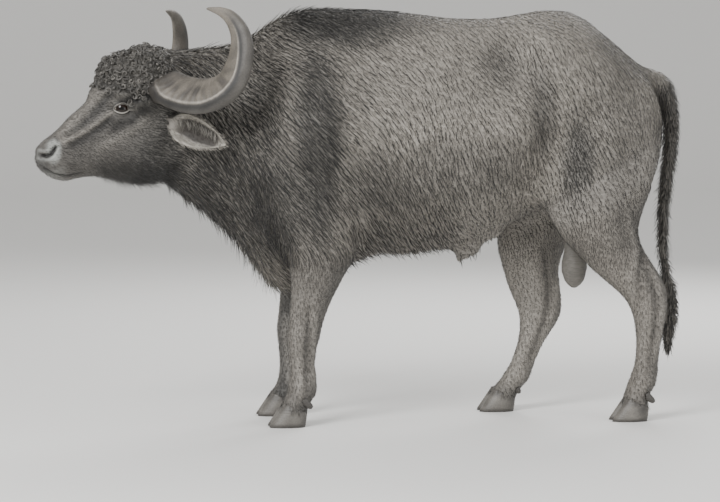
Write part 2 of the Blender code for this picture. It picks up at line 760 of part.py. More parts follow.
def ear(side):
    """A leaf-shaped cup that is nearly a tube at its root."""
    sign = side_sign(side)
    root = Vector(EAR_ROOT)
    way = Vector(EAR_WAY).normalized()
    opens = Vector(EAR_OPENS)
    opens = (opens - way * opens.dot(way)).normalized()
    wide = way.cross(opens).normalized()
    bm = bmesh.new()
    rows = []
    places = np.linspace(0, 1, 9)
    for t, (share, curl) in zip(places, smooth_rows(EAR_ROWS, places)):
        curl = math.radians(curl)
        radius = EAR_WIDTH / 2 * share / math.sin(min(curl, math.pi / 2))
        row = []
        for v in np.linspace(-1, 1, 7):
            point = root + way * (EAR_LENGTH * t) + wide * (radius * math.sin(curl * v))
            point += opens * (radius * (1 - math.cos(curl * v)) - 0.5 * radius * (1 - math.cos(curl)))
            row.append(bm.verts.new((point.x, point.y * sign, point.z)))
        rows.append(row)
    for near, far in zip(rows, rows[1:]):
        for i in range(len(near) - 1):
            bm.faces.new((near[i], near[i + 1], far[i + 1], far[i]))
    obj = from_bmesh(f"ear_{side}", bm)
    thick = obj.modifiers.new("thickness", "SOLIDIFY")
    thick.thickness = 0.006
    thick.offset = 0
    apply_modifiers(obj)
    return obj


# Curls and locks


def clump(centre, normal, turn, radius):
    """One rounded curl, a little flat and oval, with its own turn."""
    bm = bmesh.new()
    bmesh.ops.create_uvsphere(bm, u_segments=6, v_segments=5, radius=radius)
    bmesh.ops.scale(bm, vec=(1.15, 0.95, 0.80), verts=bm.verts)
    tilt = Vector((0, 0, 1)).rotation_difference(normal).to_matrix().to_4x4()
    matrix = Matrix.Translation(centre) @ tilt @ Matrix.Rotation(turn, 4, "Z")
    bmesh.ops.transform(bm, matrix=matrix, verts=bm.verts)
    return from_bmesh("clump", bm)


def crown(head):
    """Curls set close over the forehead and between the horns, clear of horns and eyes."""
    draw = np.random.default_rng(5)
    horn_base = Vector((HORN_BASE[0] + HORN[1][0], HORN[1][1], HORN_BASE[1] + HORN[1][2]))
    eye = head_point(*EYE_CENTRE)
    clumps = []
    for row, (along, count, widest) in enumerate(CROWN_ROWS):
        for i in range(count):
            angle = math.radians(widest) * (2 * i / (count - 1) - 1 + draw.uniform(-0.06, 0.06))
            start = head_point(along + draw.uniform(-0.008, 0.008), 0, 0.060)
            upward = head_point(0, 0, 1) - head_point(0, 0, 0)
            way = upward * math.cos(angle) + Vector((0, 1, 0)) * math.sin(angle)
            point, normal = surface_hit(head, start, way)
            near_side = Vector((point.x, abs(point.y), point.z))
            if (near_side - horn_base).length < 0.062 or (near_side - eye).length < 0.070:
                continue
            radius = CLUMP_RADIUS * draw.uniform(0.88, 1.12)
            clumps.append(clump(point + normal * 0.10 * radius, normal, draw.uniform(0, math.pi), radius))
    return clumps


def lock(root, normal, lie, length, width):
    """A flat lock that leaves the skin at a slant and bends over into the lie, with its root sunk in."""
    side = lie.cross(normal).normalized()
    rings = []
    for share, wide in ((0.0, 0.75), (0.28, 1.0), (0.65, 0.70)):
        rise = -0.016 + length * (0.50 * share - 0.22 * share**2)
        centre = root + lie * (length * share * (0.70 + 0.30 * share) - 0.010) + normal * rise
        half, thick = width / 2 * wide, 0.0065 * (1.15 - 0.6 * share)
        ring = [centre + side * half, centre + normal * thick]
        ring += [centre - side * half, centre - normal * thick]
        rings.append(ring)
    tip = root + lie * length + normal * (length * 0.26 - 0.012)
    rings.append([tip + side * 0.002, tip + normal * 0.001, tip - side * 0.002, tip - normal * 0.001])
    return loft("lock", rings)


def row_of_locks(node, row, spread, seed):
    """Locks along the top or underside of a node, staggered a little to either side of the middle."""
    (first, last), count, length, width, (along, up) = row
    draw = np.random.default_rng(seed)
    below = up < 0
    locks = []
    for i in range(count):
        for offset in spread:
            x = first + (last - first) * (i + draw.uniform(0.2, 0.8)) / count
            ahead = NECK_BEND_FROM - x
            middle = -np.interp(ahead, bend_sums()[0], bend_sums()[3]) if ahead > 0 else 0.0
            start = Vector((x, middle + offset + draw.uniform(-0.006, 0.006), -0.5 if below else 2.0))
            found, point, normal, _ = node.ray_cast(start, Vector((0, 0, 1 if below else -1)))
            if not found:
                continue
            lie = Vector((along, 1.2 * offset, up))
            lie = (lie - normal * lie.dot(normal) * 0.75).normalized()
            long = length * draw.uniform(0.8, 1.2)
            wide = width * draw.uniform(0.85, 1.15)
            locks.append(lock(point, normal, lie, long, wide))
    return locks


def switch_locks():
    """The long hair at the end of the tail, in overlapping locks that taper to the tip."""
    draw = np.random.default_rng(9)
    path = smooth_path(TAIL, 200)
    locks = []
    for row, (top, count, length, reach) in enumerate(SWITCH_ROWS):
        for i in range(count):
            angle = 2 * math.pi * (i + 0.5 * (row % 2) + draw.uniform(-0.15, 0.15)) / count
            start, long = top + draw.uniform(-0.012, 0.012), length * draw.uniform(0.88, 1.0)
            rings = []
            for part, out, wide in ((0.0, 0.20, 0.40), (0.30, 0.78, 0.62), (0.65, 0.84, 0.48), (1.0, 0.55, 0.06)):
                z = max(start - long * part, 0.190)
                x = np.interp(-z, -path[:, 1], path[:, 0])
                swirl = angle + 0.4 * part
                away = Vector((math.cos(swirl), math.sin(swirl), 0))
                side = Vector((-away.y, away.x, 0))
                centre = Vector((x, 0, z)) + away * reach * out
                thick = 0.007 * (1.1 - part)
                rings.append([centre + side * reach * wide, centre + away * thick,
                              centre - side * reach * wide, centre - away * thick])
            locks.append(loft("lock", rings))
    return locks


def fuse(node, pieces, solver="EXACT"):
    """Joins pieces to their node as one closed body."""
    group = bpy.data.collections.new("pieces")
    for piece in pieces:
        group.objects.link(piece)
    modifier = node.modifiers.new("fuse", "BOOLEAN")
    modifier.operation = "UNION"
    modifier.solver = solver
    modifier.operand_type = "COLLECTION"
    modifier.collection = group
    apply_modifiers(node)
    bpy.data.collections.remove(group)
    remove(*pieces)
    keep_largest(node)


# Feet


def coronet_plane(foot):
    """A point of the slanting plane between hoof and skin, and the rise of that plane per metre forward."""
    rise = (CORONET_FRONT - CORONET_BACK) / (CLAW_LENGTH - TOE_SLOPE + 0.006)
    return foot[0] + CLAW_LENGTH / 2 + 0.006, rise


def below_coronet(foot, lift):
    """Everything under the coronet of one foot."""
    back, rise = coronet_plane(foot)
    slope = math.atan(rise)
    turn = Matrix.Translation((back, foot[1], CORONET_BACK + lift)) @ Matrix.Rotation(slope, 4, "Y")
    return box("below", (-0.30, -0.10, -0.20), (0.12, 0.10, 0.0), turn)


def claw(name, foot, side):
    """One claw: flat below, steep at the heel, sloping at the toe."""
    rings = []
    for share in (0.0, 0.15, 1.0):
        front = foot[0] - CLAW_LENGTH / 2 + TOE_SLOPE * share
        back = foot[0] + CLAW_LENGTH / 2 + 0.006 * share
        ring = []
        for along, across in closed_curve(CLAW_OUTLINE, 2):
            x = back + (front - back) * along
            inset = 0.004 * max(0, 1 - share / 0.15) + 0.004 * share
            outer = across - inset if across > 0.025 else across
            rise = CORONET_BACK + (CORONET_FRONT - CORONET_BACK) * along
            spread = 0.17 * (0.0 - (x - foot[0])) * (1 - share * 0.6)
            ring.append((x, foot[1] + side * (outer + max(-0.003, 0.35 * spread)), rise * share))
        rings.append(ring)
    return loft(name, rings)


def dewclaw(name, foot, side):
    """A blunt cone behind the fetlock."""
    back, _ = coronet_plane(foot)
    rings = []
    start = Vector((back - 0.035, foot[1] + side * 0.028, 0.108))
    end = Vector((back + 0.016, foot[1] + side * 0.036, 0.066))
    way = (end - start).normalized()
    wide = Vector((0, 1, 0))
    high = way.cross(wide).normalized()
    for share, radius in ((0.0, 0.013), (0.45, 0.015), (0.85, 0.012), (1.0, 0.006)):
        centre = start.lerp(end, share)
        ring = []
        for angle in np.linspace(0, 2 * math.pi, 6, endpoint=False):
            ring.append(centre + wide * radius * math.cos(angle) + high * 1.1 * radius * math.sin(angle))
        rings.append(ring)
    return loft(name, rings)


def finish_foot(leg_piece, name):
    """Cuts a leg at its coronet and stands it on two claws, with two dewclaws behind."""
    foot = FEET[name]
    below = below_coronet(foot, GAP * 2)
    combine(leg_piece, below, "DIFFERENCE")
    keep_largest(leg_piece)
    remove(below)
    pieces = []
    for place, side in (("outer", math.copysign(1, foot[1])), ("inner", -math.copysign(1, foot[1]))):
        pieces.append(claw(f"claw_{name}_{place}", foot, side))
        small = dewclaw(f"dewclaw_{name}_{place}", foot, side)
        cut_clear(small, leg_piece)
        pieces.append(small)
    return pieces


# Parting, turning the head and finishing


def bend_sums():
    """Along the neck's middle line: lengths, angles, and how far it has come forward and to the left."""
    lengths = np.linspace(0, NECK_BEND_LENGTH, 301)
    share = lengths / NECK_BEND_LENGTH
    angles = HEAD_TURN * share**2 * (3 - 2 * share)
    step = lengths[1]
    forward = np.concatenate([[0], np.cumsum((np.cos(angles[1:]) + np.cos(angles[:-1])) / 2 * step)])
    sideways = np.concatenate([[0], np.cumsum((np.sin(angles[1:]) + np.sin(angles[:-1])) / 2 * step)])
    return lengths, angles, forward, sideways


def head_turn():
    """The stiff movement of everything ahead of the bend."""
    _, _, forward, sideways = bend_sums()
    end = Vector((NECK_BEND_FROM - NECK_BEND_LENGTH, 0, 0))
    moved = Vector((NECK_BEND_FROM - forward[-1], -sideways[-1], 0))
    return Matrix.Translation(moved) @ Matrix.Rotation(HEAD_TURN, 4, "Z") @ Matrix.Translation(-end)


def bend_neck(obj):
    """Bends the neck towards the left and carries the head round with it."""
    lengths, angles, forward, sideways = bend_sums()
    points = points_of(obj)
    ahead = NECK_BEND_FROM - points[:, 0]
    angle = np.interp(ahead, lengths, angles)
    beyond = np.clip(ahead - NECK_BEND_LENGTH, 0, None)
    middle_x = NECK_BEND_FROM - np.interp(ahead, lengths, forward) - beyond * math.cos(HEAD_TURN)
    middle_y = -np.interp(ahead, lengths, sideways) - beyond * math.sin(HEAD_TURN)
    side = points[:, 1]
    bent = np.stack([middle_x - side * np.sin(angle), middle_y + side * np.cos(angle)], axis=1)
    points[:, :2] = np.where(ahead[:, None] > 0, bent, points[:, :2])
    set_points(obj, points)


def move(obj, matrix):
    obj.data.transform(matrix)
    obj.data.update()


def part_all(flesh):
    """Parts the flesh into its nodes, from the outside in."""
    nodes = {"tail": part_off(flesh, tail(0.007, 1), "tail")}
    for side in ("left", "right"):
        sign = side_sign(side)
        low, high = sorted((0.085 * sign, 0.45 * sign))
        region = box("region", (-0.42, low, -0.10), (-0.01, high, 0.585))
        nodes[f"leg_front_{side}"] = part_off(flesh, region, f"leg_front_{side}")
        low, high = sorted((0.056 * sign, 0.50 * sign))
        slope = Matrix.Translation((0.60, 0, 0.62)) @ Matrix.Rotation(-math.atan(0.46), 4, "Y")
        region = box("region", (-0.30, low, -0.90), (0.80, high, 0.0), slope)
        nodes[f"leg_hind_{side}"] = part_off(flesh, region, f"leg_hind_{side}")
    region = box("region", (0.68, -0.0555, 0.40), (0.88, 0.0555, 0.655))
    nodes["scrotum"] = part_off(flesh, region, "scrotum")
    slant = head_turn() @ Matrix.Translation((-0.640, 0, 1.0)) @ Matrix.Rotation(math.radians(-6.5), 4, "Y")
    nodes["head"] = part_off(flesh, box("region", (-0.90, -0.5, -0.7), (0.0, 0.5, 0.6), slant), "head")
    slant = Matrix.Translation((-0.330, 0, 1.0)) @ Matrix.Rotation(math.radians(12.4), 4, "Y")
    nodes["neck"] = part_off(flesh, box("region", (-0.90, -0.5, -0.7), (0.0, 0.5, 0.6), slant), "neck")
    flesh.name = "torso"
    nodes["torso"] = flesh
    return nodes


def material(name, colour, roughness):
    mat = bpy.data.materials.new(name)
    mat.use_nodes = True
    shader = mat.node_tree.nodes["Principled BSDF"]
    shader.inputs["Base Color"].default_value = (*colour, 1)
    shader.inputs["Roughness"].default_value = roughness
    return mat


def colour_all(objects):
    looks = {
        "eye": ((0.012, 0.009, 0.007), 0.15),
        "horn": ((0.20, 0.175, 0.14), 0.45),
        "claw": ((0.06, 0.055, 0.05), 0.5),
        "dewclaw": ((0.06, 0.055, 0.05), 0.5),
        "scrotum": ((0.14, 0.12, 0.11), 0.6),
    }
    for obj in objects:
        colour, roughness = looks.get(obj.name.split("_")[0], ((0.085, 0.078, 0.072), 0.75))
        obj.data.materials.clear()
        obj.data.materials.append(material(f"{obj.name} surface", colour, roughness))


def main():
    for obj in list(bpy.data.objects):
        bpy.data.objects.remove(obj)
    flesh = body_flesh()
    bend_neck(flesh)
    nodes = part_all(flesh)
    head = nodes["head"]
    move(head, head_turn().inverted())
    eyes = finish_head(head)
    fuse(head, crown(head), "MANIFOLD")
    growths = [horn("left"), horn("right"), ear("left"), ear("right")]
    for obj in [head, *eyes, *growths]:
        move(obj, head_turn())
    neck, torso = nodes["neck"], nodes["torso"]
    neck_locks = row_of_locks(neck, CREST, (0.0,), 1)
    neck_locks += row_of_locks(neck, THROAT, (-0.040, 0.0, 0.040), 2)
    fuse(neck, neck_locks, "MANIFOLD")
    torso_locks = row_of_locks(torso, CREST, (0.0,), 3)
    torso_locks += row_of_locks(torso, BRISKET, (-0.030, 0.030), 4)
    torso_locks += row_of_locks(torso, BELLY, (-0.060, 0.0, 0.060), 5)
    fuse(torso, torso_locks, "MANIFOLD")
    fuse(nodes["tail"], switch_locks(), "MANIFOLD")
    cut_clear(neck, head, "MANIFOLD")
    cut_clear(neck, torso, "MANIFOLD")
    for i, growth in enumerate(growths):
        for neighbour in [head, neck, *growths[:i]]:
            cut_clear(growth, neighbour, "MANIFOLD")
    objects = [*nodes.values(), *eyes, *growths]
    for side in ("left", "right"):
        for end in ("front", "hind"):
            objects += finish_foot(nodes[f"leg_{end}_{side}"], f"{end}_{side}")
    everything = np.concatenate([points_of(obj) for obj in objects])
    low, high = everything.min(axis=0), everything.max(axis=0)
    shift = np.array([-(low[0] + high[0]) / 2, -(low[1] + high[1]) / 2, -low[2]])
    for obj in objects:
        set_points(obj, points_of(obj) + shift)
    colour_all(objects)


main()
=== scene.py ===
"""A life-size model of a standing water buffalo bull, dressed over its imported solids."""

import math

import bmesh
import bpy
import numpy as np
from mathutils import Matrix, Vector
from mathutils.bvhtree import BVHTree
from mathutils.kdtree import KDTree


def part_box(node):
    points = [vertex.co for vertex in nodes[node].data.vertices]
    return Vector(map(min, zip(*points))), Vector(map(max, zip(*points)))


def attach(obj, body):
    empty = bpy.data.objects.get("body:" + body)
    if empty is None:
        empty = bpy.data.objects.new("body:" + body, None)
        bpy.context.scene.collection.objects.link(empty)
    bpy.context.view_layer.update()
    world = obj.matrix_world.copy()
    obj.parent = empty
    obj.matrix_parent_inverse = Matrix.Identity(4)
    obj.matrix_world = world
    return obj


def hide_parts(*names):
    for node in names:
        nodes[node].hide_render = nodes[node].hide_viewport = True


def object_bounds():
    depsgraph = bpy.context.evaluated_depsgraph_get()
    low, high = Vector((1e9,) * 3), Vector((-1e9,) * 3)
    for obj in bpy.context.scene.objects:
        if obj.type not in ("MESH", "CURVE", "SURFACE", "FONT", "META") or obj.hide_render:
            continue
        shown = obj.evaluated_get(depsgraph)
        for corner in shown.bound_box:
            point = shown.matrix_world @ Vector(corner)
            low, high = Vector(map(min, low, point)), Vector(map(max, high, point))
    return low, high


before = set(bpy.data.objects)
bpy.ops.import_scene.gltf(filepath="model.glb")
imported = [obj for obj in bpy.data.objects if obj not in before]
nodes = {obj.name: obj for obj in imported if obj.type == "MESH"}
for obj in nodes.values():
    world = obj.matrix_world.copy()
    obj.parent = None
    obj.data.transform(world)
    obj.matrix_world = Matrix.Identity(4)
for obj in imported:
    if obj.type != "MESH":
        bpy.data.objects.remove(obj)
cad_low, cad_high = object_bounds()
scene = bpy.context.scene


# Skin
# One thick, dark, sparsely haired hide over head, neck, trunk, legs and tail. It lies inside the outline by
# the depth of the coat, and it alone makes the lids, nostrils, lips and folds.
FLESH = ("head", "neck", "torso", "tail", "scrotum")
FLESH += ("leg_front_left", "leg_front_right", "leg_hind_left", "leg_hind_right")
SKIN_VOXEL = 0.0130
HAIRLINE = 0.026  # how far the hide comes down over the claws
SHEATH_ALONG, SHEATH_HALF, SHEATH_TOP = (0.27, 0.52), 0.050, 0.70
CROWN_EDGE = (  # lower edge of the crown's curls, along the face and up
    (-0.10, 0.060), (0.02, 0.092), (0.045, 0.108), (0.075, 0.120),
    (0.100, 0.142), (0.125, 0.160), (0.180, 0.172),
)
COAT_DEPTH = {"neck": 0.004, "torso": 0.0035, "legs": 0.0015, "tail": 0.003}
HEAD_SLOPE = math.radians(24)
HEAD_STRETCH = 1.035
EYE_ALONG, EYE_UP = 0.110, 0.080
EYE_RADIUS = 0.028
EYE_LOOK = (0.22, 1.0, 0.06)
EYE_WIDE, EYE_UPPER, EYE_LOWER = 1.08, 0.56, 0.46  # half angles of the opening between the lids, in radians
LID_PROFILE = (  # how far out of the opening (1 is its edge), and the lid's height over the ball
    (0.0, -0.006), (0.80, -0.006), (0.97, 0.0022), (1.10, 0.0042), (1.32, 0.0034), (1.58, 0.0004),
    (1.90, 0.0036), (2.25, 0.0030), (2.6, 0.004),
)
MUZZLE_RISE = 0.008
NOSTRIL = ((0.413, 0.052), (0.402, 0.044), (0.388, 0.043), (0.373, 0.051), (0.359, 0.059))
MOUTH = ((0.296, -0.066), (0.332, -0.058), (0.366, -0.049), (0.400, -0.025), (0.418, 0.002), (0.431, 0.029))
# In the last number, darker entries (-) are painted shade in the face's folds and hollows, the darkest a
# painted shadow under the horn, and paler ones (+) are painted highlights along its ridges.
FACE_FORMS = (  # line along the face, raised or sunk by, width, and darker (-) or paler (+) than the face
    (((0.130, 0.140), (0.190, 0.108), (0.245, 0.088), (0.300, 0.080)), -0.0042, 0.014, -0.62),
    (((0.148, 0.086), (0.197, 0.072), (0.245, 0.064), (0.292, 0.061), (0.331, 0.062)), 0.0036, 0.008, 0.50),
    (((0.165, 0.066), (0.215, 0.050), (0.255, 0.042), (0.305, 0.040)), -0.0040, 0.013, -0.62),
    (((0.070, 0.011), (0.124, 0.002), (0.179, -0.006), (0.233, -0.009)), 0.0024, 0.014, 0.22),
    (((0.055, 0.052), (0.100, 0.036), (0.155, 0.034)), -0.0030, 0.018, -0.60),
    (((0.010, 0.088), (0.040, 0.096), (0.078, 0.100)), -0.0035, 0.022, -0.85),
    (((0.135, 0.112), (0.105, 0.121), (0.070, 0.112)), 0.0030, 0.010, 0.10),
    (((0.150, 0.160), (0.210, 0.128), (0.320, 0.086)), 0.0, 0.016, 0.35),
)

# The last number is painted shade (-) in a groove of the leg, or a painted highlight (+) on a ridge or
# front.
LEG_FORMS = (  # end, side, line along the body and up, raised or sunk by, width, darker (-) or paler (+)
    ("hind", -1, ((0.975, 0.560), (1.023, 0.469), (1.036, 0.406), (1.026, 0.300), (1.008, 0.213)),
     0.0032, 0.011, 0.40),
    ("hind", -1, ((0.965, 0.560), (1.000, 0.455), (1.008, 0.400), (1.002, 0.300), (0.985, 0.180)),
     -0.0050, 0.011, -0.5),
    ("hind", -1, ((0.890, 0.740), (0.934, 0.601), (0.917, 0.514), (0.919, 0.417)), 0.0036, 0.013, 0.30),
    ("hind", -1, ((0.915, 0.740), (0.960, 0.601), (0.945, 0.514), (0.948, 0.430)),
     -0.0036, 0.011, -0.40),
    ("hind", -1, ((0.962, 0.400), (0.958, 0.319), (0.950, 0.200)), 0.0, 0.020, 0.25),
    ("hind", 1, ((0.741, 0.560), (0.728, 0.454), (0.718, 0.372), (0.684, 0.274), (0.640, 0.170)),
     0.0032, 0.011, 0.40),
    ("hind", 1, ((0.670, 0.600), (0.692, 0.454), (0.686, 0.358), (0.650, 0.250), (0.610, 0.160)),
     -0.0050, 0.011, -0.5),
    ("hind", 1, ((0.620, 0.560), (0.640, 0.400), (0.610, 0.270), (0.575, 0.160)), 0.0, 0.020, 0.25),
    ("front", 0, ((-0.214, 0.430), (-0.215, 0.337), (-0.219, 0.200), (-0.222, 0.120)),
     -0.0048, 0.010, -0.50),
    ("front", 0, ((-0.190, 0.400), (-0.191, 0.301), (-0.190, 0.200), (-0.187, 0.144)),
     0.0030, 0.010, 0.40),
    ("front", 0, ((-0.245, 0.460), (-0.246, 0.415)), 0.0045, 0.030, 0.15),
    ("front", 0, ((-0.250, 0.360), (-0.255, 0.303), (-0.242, 0.164), (-0.240, 0.110)),
     0.0, 0.013, 0.35),
)


def points_of(obj):
    points = np.empty(len(obj.data.vertices) * 3)
    obj.data.vertices.foreach_get("co", points)
    return points.reshape(-1, 3)


def set_points(obj, points):
    obj.data.vertices.foreach_set("co", np.asarray(points, float).ravel())
    obj.data.update()


def normals_of(obj):
    normals = np.empty(len(obj.data.vertices) * 3)
    obj.data.vertex_normals.foreach_get("vector", normals)
    return normals.reshape(-1, 3)


def copy_of_nodes(name, names, swell=0.0):
    """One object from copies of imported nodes, with each copy's loose triangles merged first."""
    bm = bmesh.new()
    for node in names:
        one = bmesh.new()
        one.from_mesh(nodes[node].data)
        bmesh.ops.remove_doubles(one, verts=one.verts, dist=1e-5)
        one.normal_update()
        for vert in one.verts:
            vert.co += vert.normal * swell
        mesh = bpy.data.meshes.new(node)
        one.to_mesh(mesh)
        one.free()
        bm.from_mesh(mesh)
        bpy.data.meshes.remove(mesh)
    mesh = bpy.data.meshes.new(name)
    bm.to_mesh(mesh)
    bm.free()
    obj = bpy.data.objects.new(name, mesh)
    scene.collection.objects.link(obj)
    return obj


def remesh(obj, voxel):
    """Turns obj into one even closed surface."""
    modifier = obj.modifiers.new("even", "REMESH")
    modifier.mode = "VOXEL"
    modifier.voxel_size = voxel
    modifier.use_smooth_shade = True
    finished = bpy.data.meshes.new_from_object(obj.evaluated_get(bpy.context.evaluated_depsgraph_get()))
    obj.modifiers.clear()
    old = obj.data
    obj.data = finished
    bpy.data.meshes.remove(old)


def edges_of(obj):
    edges = np.empty(len(obj.data.edges) * 2, np.int64)
    obj.data.edges.foreach_get("vertices", edges)
    return edges.reshape(-1, 2)


def relax(values, edges, rounds, weights=1.0):
    """Averages each row of values with its neighbours, as often and as strongly as asked."""
    values = np.array(values, float)
    flat = values.ndim == 1
    if flat:
        values = values[:, None]
    count = np.bincount(edges.ravel(), minlength=len(values))[:, None]
    weights = np.broadcast_to(weights, len(values))[:, None]
    for _ in range(rounds):
        total = np.zeros_like(values)
        for k in range(values.shape[1]):
            total[:, k] = np.bincount(edges[:, 0], values[edges[:, 1], k], len(values))
            total[:, k] += np.bincount(edges[:, 1], values[edges[:, 0], k], len(values))
        values += 0.6 * weights * (total / np.maximum(count, 1) - values)
    return values[:, 0] if flat else values


def step(values, low, high):
    """0 below low, 1 above high, smooth between."""
    share = np.clip((np.asarray(values) - low) / (high - low), 0, 1)
    return share * share * (3 - 2 * share)


def middle(node):
    low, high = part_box(node)
    return (low + high) / 2


# The head's own frame, from the places of the eyes: down the face, across to the right, and up.
eye_middle = (middle("eye_left") + middle("eye_right")) / 2
head_across = (middle("eye_right") - middle("eye_left")).normalized()
head_level = Vector((0, 0, 1)).cross(head_across)
if head_level.x > 0:
    head_level = -head_level
head_down = head_level * math.cos(HEAD_SLOPE) - Vector((0, 0, math.sin(HEAD_SLOPE)))
head_up = Vector((0, 0, math.cos(HEAD_SLOPE))) + head_level * math.sin(HEAD_SLOPE)


def in_head(points):
    """Places in the head's own frame: along the face, across and up."""
    away = np.asarray(points) - np.array(eye_middle)
    along = away @ np.array(head_down) / HEAD_STRETCH + EYE_ALONG
    return np.stack([along, away @ np.array(head_across), away @ np.array(head_up) + EYE_UP], 1)


def from_head(along, across, up):
    """A point of the head's own frame as a place in the model."""
    point = eye_middle + head_down * ((along - EYE_ALONG) * HEAD_STRETCH)
    return point + head_across * across + head_up * (up - EYE_UP)


def line_distance(points, line, samples=60):
    """Distance of flat points from a line through a few places, and how far along it they are."""
    line = np.array(line)
    at = np.linspace(0, len(line) - 1, samples)
    dense = np.stack([np.interp(at, np.arange(len(line)), line[:, k]) for k in range(2)], 1)
    away = np.linalg.norm(points[:, None, :] - dense[None], axis=2)
    return away.min(axis=1), away.argmin(axis=1) / (samples - 1)


def leg_form(points, normals, end, side, line, wide):
    """How strongly each point lies on one form of a leg, on both faces of the leg that look sideways."""
    ahead = points[:, 0] < 0.3
    chosen = ahead if end == "front" else ~ahead & (points[:, 1] * side > 0)
    near = np.zeros(len(points))
    here = np.nonzero(chosen & (points[:, 2] < 0.85))[0]
    away, at = line_distance(points[here][:, [0, 2]], line)
    fade = np.sqrt(np.clip(np.minimum(at, 1 - at) * 5, 0, 1))
    near[here] = np.exp(-((away / wide) ** 2)) * (0.3 + 0.7 * fade)
    return near * step(np.abs(normals[:, 1]), 0.2, 0.6)


def subdivide_where(obj, mask):
    """Cuts the faces whose points are all inside the mask into four."""
    bm = bmesh.new()
    bm.from_mesh(obj.data)
    inside = set(np.nonzero(mask)[0])
    edges = {e for f in bm.faces if all(v.index in inside for v in f.verts) for e in f.edges}
    bmesh.ops.subdivide_edges(bm, edges=list(edges), cuts=1, use_grid_fill=True, smooth=0.4)
    bmesh.ops.triangulate(bm, faces=[f for f in bm.faces if len(f.verts) > 4])
    bm.to_mesh(obj.data)
    bm.free()


def nearest_nodes(points):
    """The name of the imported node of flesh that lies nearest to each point."""
    tree_points, owner = [], []
    for node in FLESH:
        data = np.array([v.co for v in nodes[node].data.vertices])
        tree_points.append(data)
        owner += [node] * len(data)
    tree_points = np.concatenate(tree_points)
    tree = KDTree(len(tree_points))
    for i, point in enumerate(tree_points):
        tree.insert(point, i)
    tree.balance()
    return np.array([owner[tree.find(point)[1]] for point in points])


def by_part(values, share):
    """The value at each point, from one for each part of the body and how much the point belongs to it."""
    return sum(share[part] * value for part, value in values.items())


def coronet(node):
    """The top slice of a claw, which the skin covers down to the hairline."""
    one = bmesh.new()
    one.from_mesh(nodes[node].data)
    bmesh.ops.remove_doubles(one, verts=one.verts, dist=1e-5)
    one.normal_update()
    tops = [f for f in one.faces if f.normal.z > 0.6 and f.calc_center_median().z > 0.03]
    whole = sum(f.calc_area() for f in tops)
    slope = sum((f.normal * f.calc_area() for f in tops), Vector()).normalized()
    level = sum((f.calc_center_median() * f.calc_area() for f in tops), Vector()) / whole
    cut = bmesh.ops.bisect_plane(one, geom=one.verts[:] + one.edges[:] + one.faces[:], clear_inner=True,
                                 plane_co=level - slope * HAIRLINE, plane_no=slope)
    bmesh.ops.holes_fill(one, edges=[e for e in cut["geom_cut"] if isinstance(e, bmesh.types.BMEdge)])
    one.normal_update()
    for vert in one.verts:
        vert.co += vert.normal * 0.0030
    mesh = bpy.data.meshes.new("coronet")
    one.to_mesh(mesh)
    one.free()
    return mesh


skin = copy_of_nodes("skin", FLESH + ("eye_left", "eye_right"), swell=0.0006)
bm = bmesh.new()
bm.from_mesh(skin.data)
for node in nodes:
    if node.startswith("claw"):
        slice_mesh = coronet(node)
        bm.from_mesh(slice_mesh)
        bpy.data.meshes.remove(slice_mesh)
bm.to_mesh(skin.data)
bm.free()
remesh(skin, SKIN_VOXEL)

# The solids' coarse curls and locks are smoothed away, the trunk's facets softened, and legs and face kept.
fused = BVHTree.FromObject(skin, bpy.context.evaluated_depsgraph_get())
points = points_of(skin)
edges = edges_of(skin)
owners = nearest_nodes(points)
place = in_head(points)
hairy = (owners == "neck") | (owners == "torso")
crown = (owners == "head") & (place[:, 2] > 0.105) & (place[:, 0] < 0.18)
weights = relax(np.where(crown, 0.55, np.where(hairy, 1.0, 0.0)), edges, 4)
underside = hairy & (normals_of(skin)[:, 2] < -0.3) & (points[:, 2] < 0.95)
sheath = (points[:, 0] > SHEATH_ALONG[0]) & (points[:, 0] < SHEATH_ALONG[1])
sheath &= (np.abs(points[:, 1]) < SHEATH_HALF) & (points[:, 2] < SHEATH_TOP)
underside &= ~sheath
weights = np.where(sheath, 0.35, weights)
points = relax(points, edges, 26, weights)
points = relax(points, edges, 40, relax(underside.astype(float), edges, 6))
points = relax(points, edges, 4, np.where(place[:, 0] > 0.15, 0.6, 1.0))
points = relax(points, edges, 8, (1 - step(points[:, 2], 0.07, 0.13)) * 0.8)
set_points(skin, points)

# What smoothing took off the body all round is given back, so the skin keeps the solids' bulk.
lost = np.zeros(len(points))
for i, point in enumerate(points):
    hit, normal, _, _ = fused.find_nearest(Vector(point))
    lost[i] = (hit - Vector(point)).dot(normal)
lost = relax(np.clip(lost, -0.004, 0.030), edges, 14)
points = points + normals_of(skin) * (0.9 * lost)[:, None]
top_at = cad_high[2] - 0.020
points[:, 2] = np.where(points[:, 2] > top_at, top_at + 0.45 * (points[:, 2] - top_at), points[:, 2])
set_points(skin, points)

# Finer faces over the head, twice as fine at eyes and muzzle, and finer again round the eyes.
subdivide_where(skin, in_head(points_of(skin))[:, 0] > -0.02)
place = in_head(points_of(skin))
eyes_and_muzzle = (place[:, 0] > 0.27) | (np.hypot(place[:, 0] - EYE_ALONG, place[:, 2] - EYE_UP) < 0.085)
subdivide_where(skin, eyes_and_muzzle & (place[:, 0] > 0))
place = in_head(points_of(skin))
subdivide_where(skin, (np.hypot(place[:, 0] - EYE_ALONG, place[:, 2] - EYE_UP) < 0.060) & (place[:, 0] > 0))
points = points_of(skin)
edges = edges_of(skin)
place = in_head(points)
points = relax(points, edges, 6, step(place[:, 0], -0.05, 0.02) * 0.9)

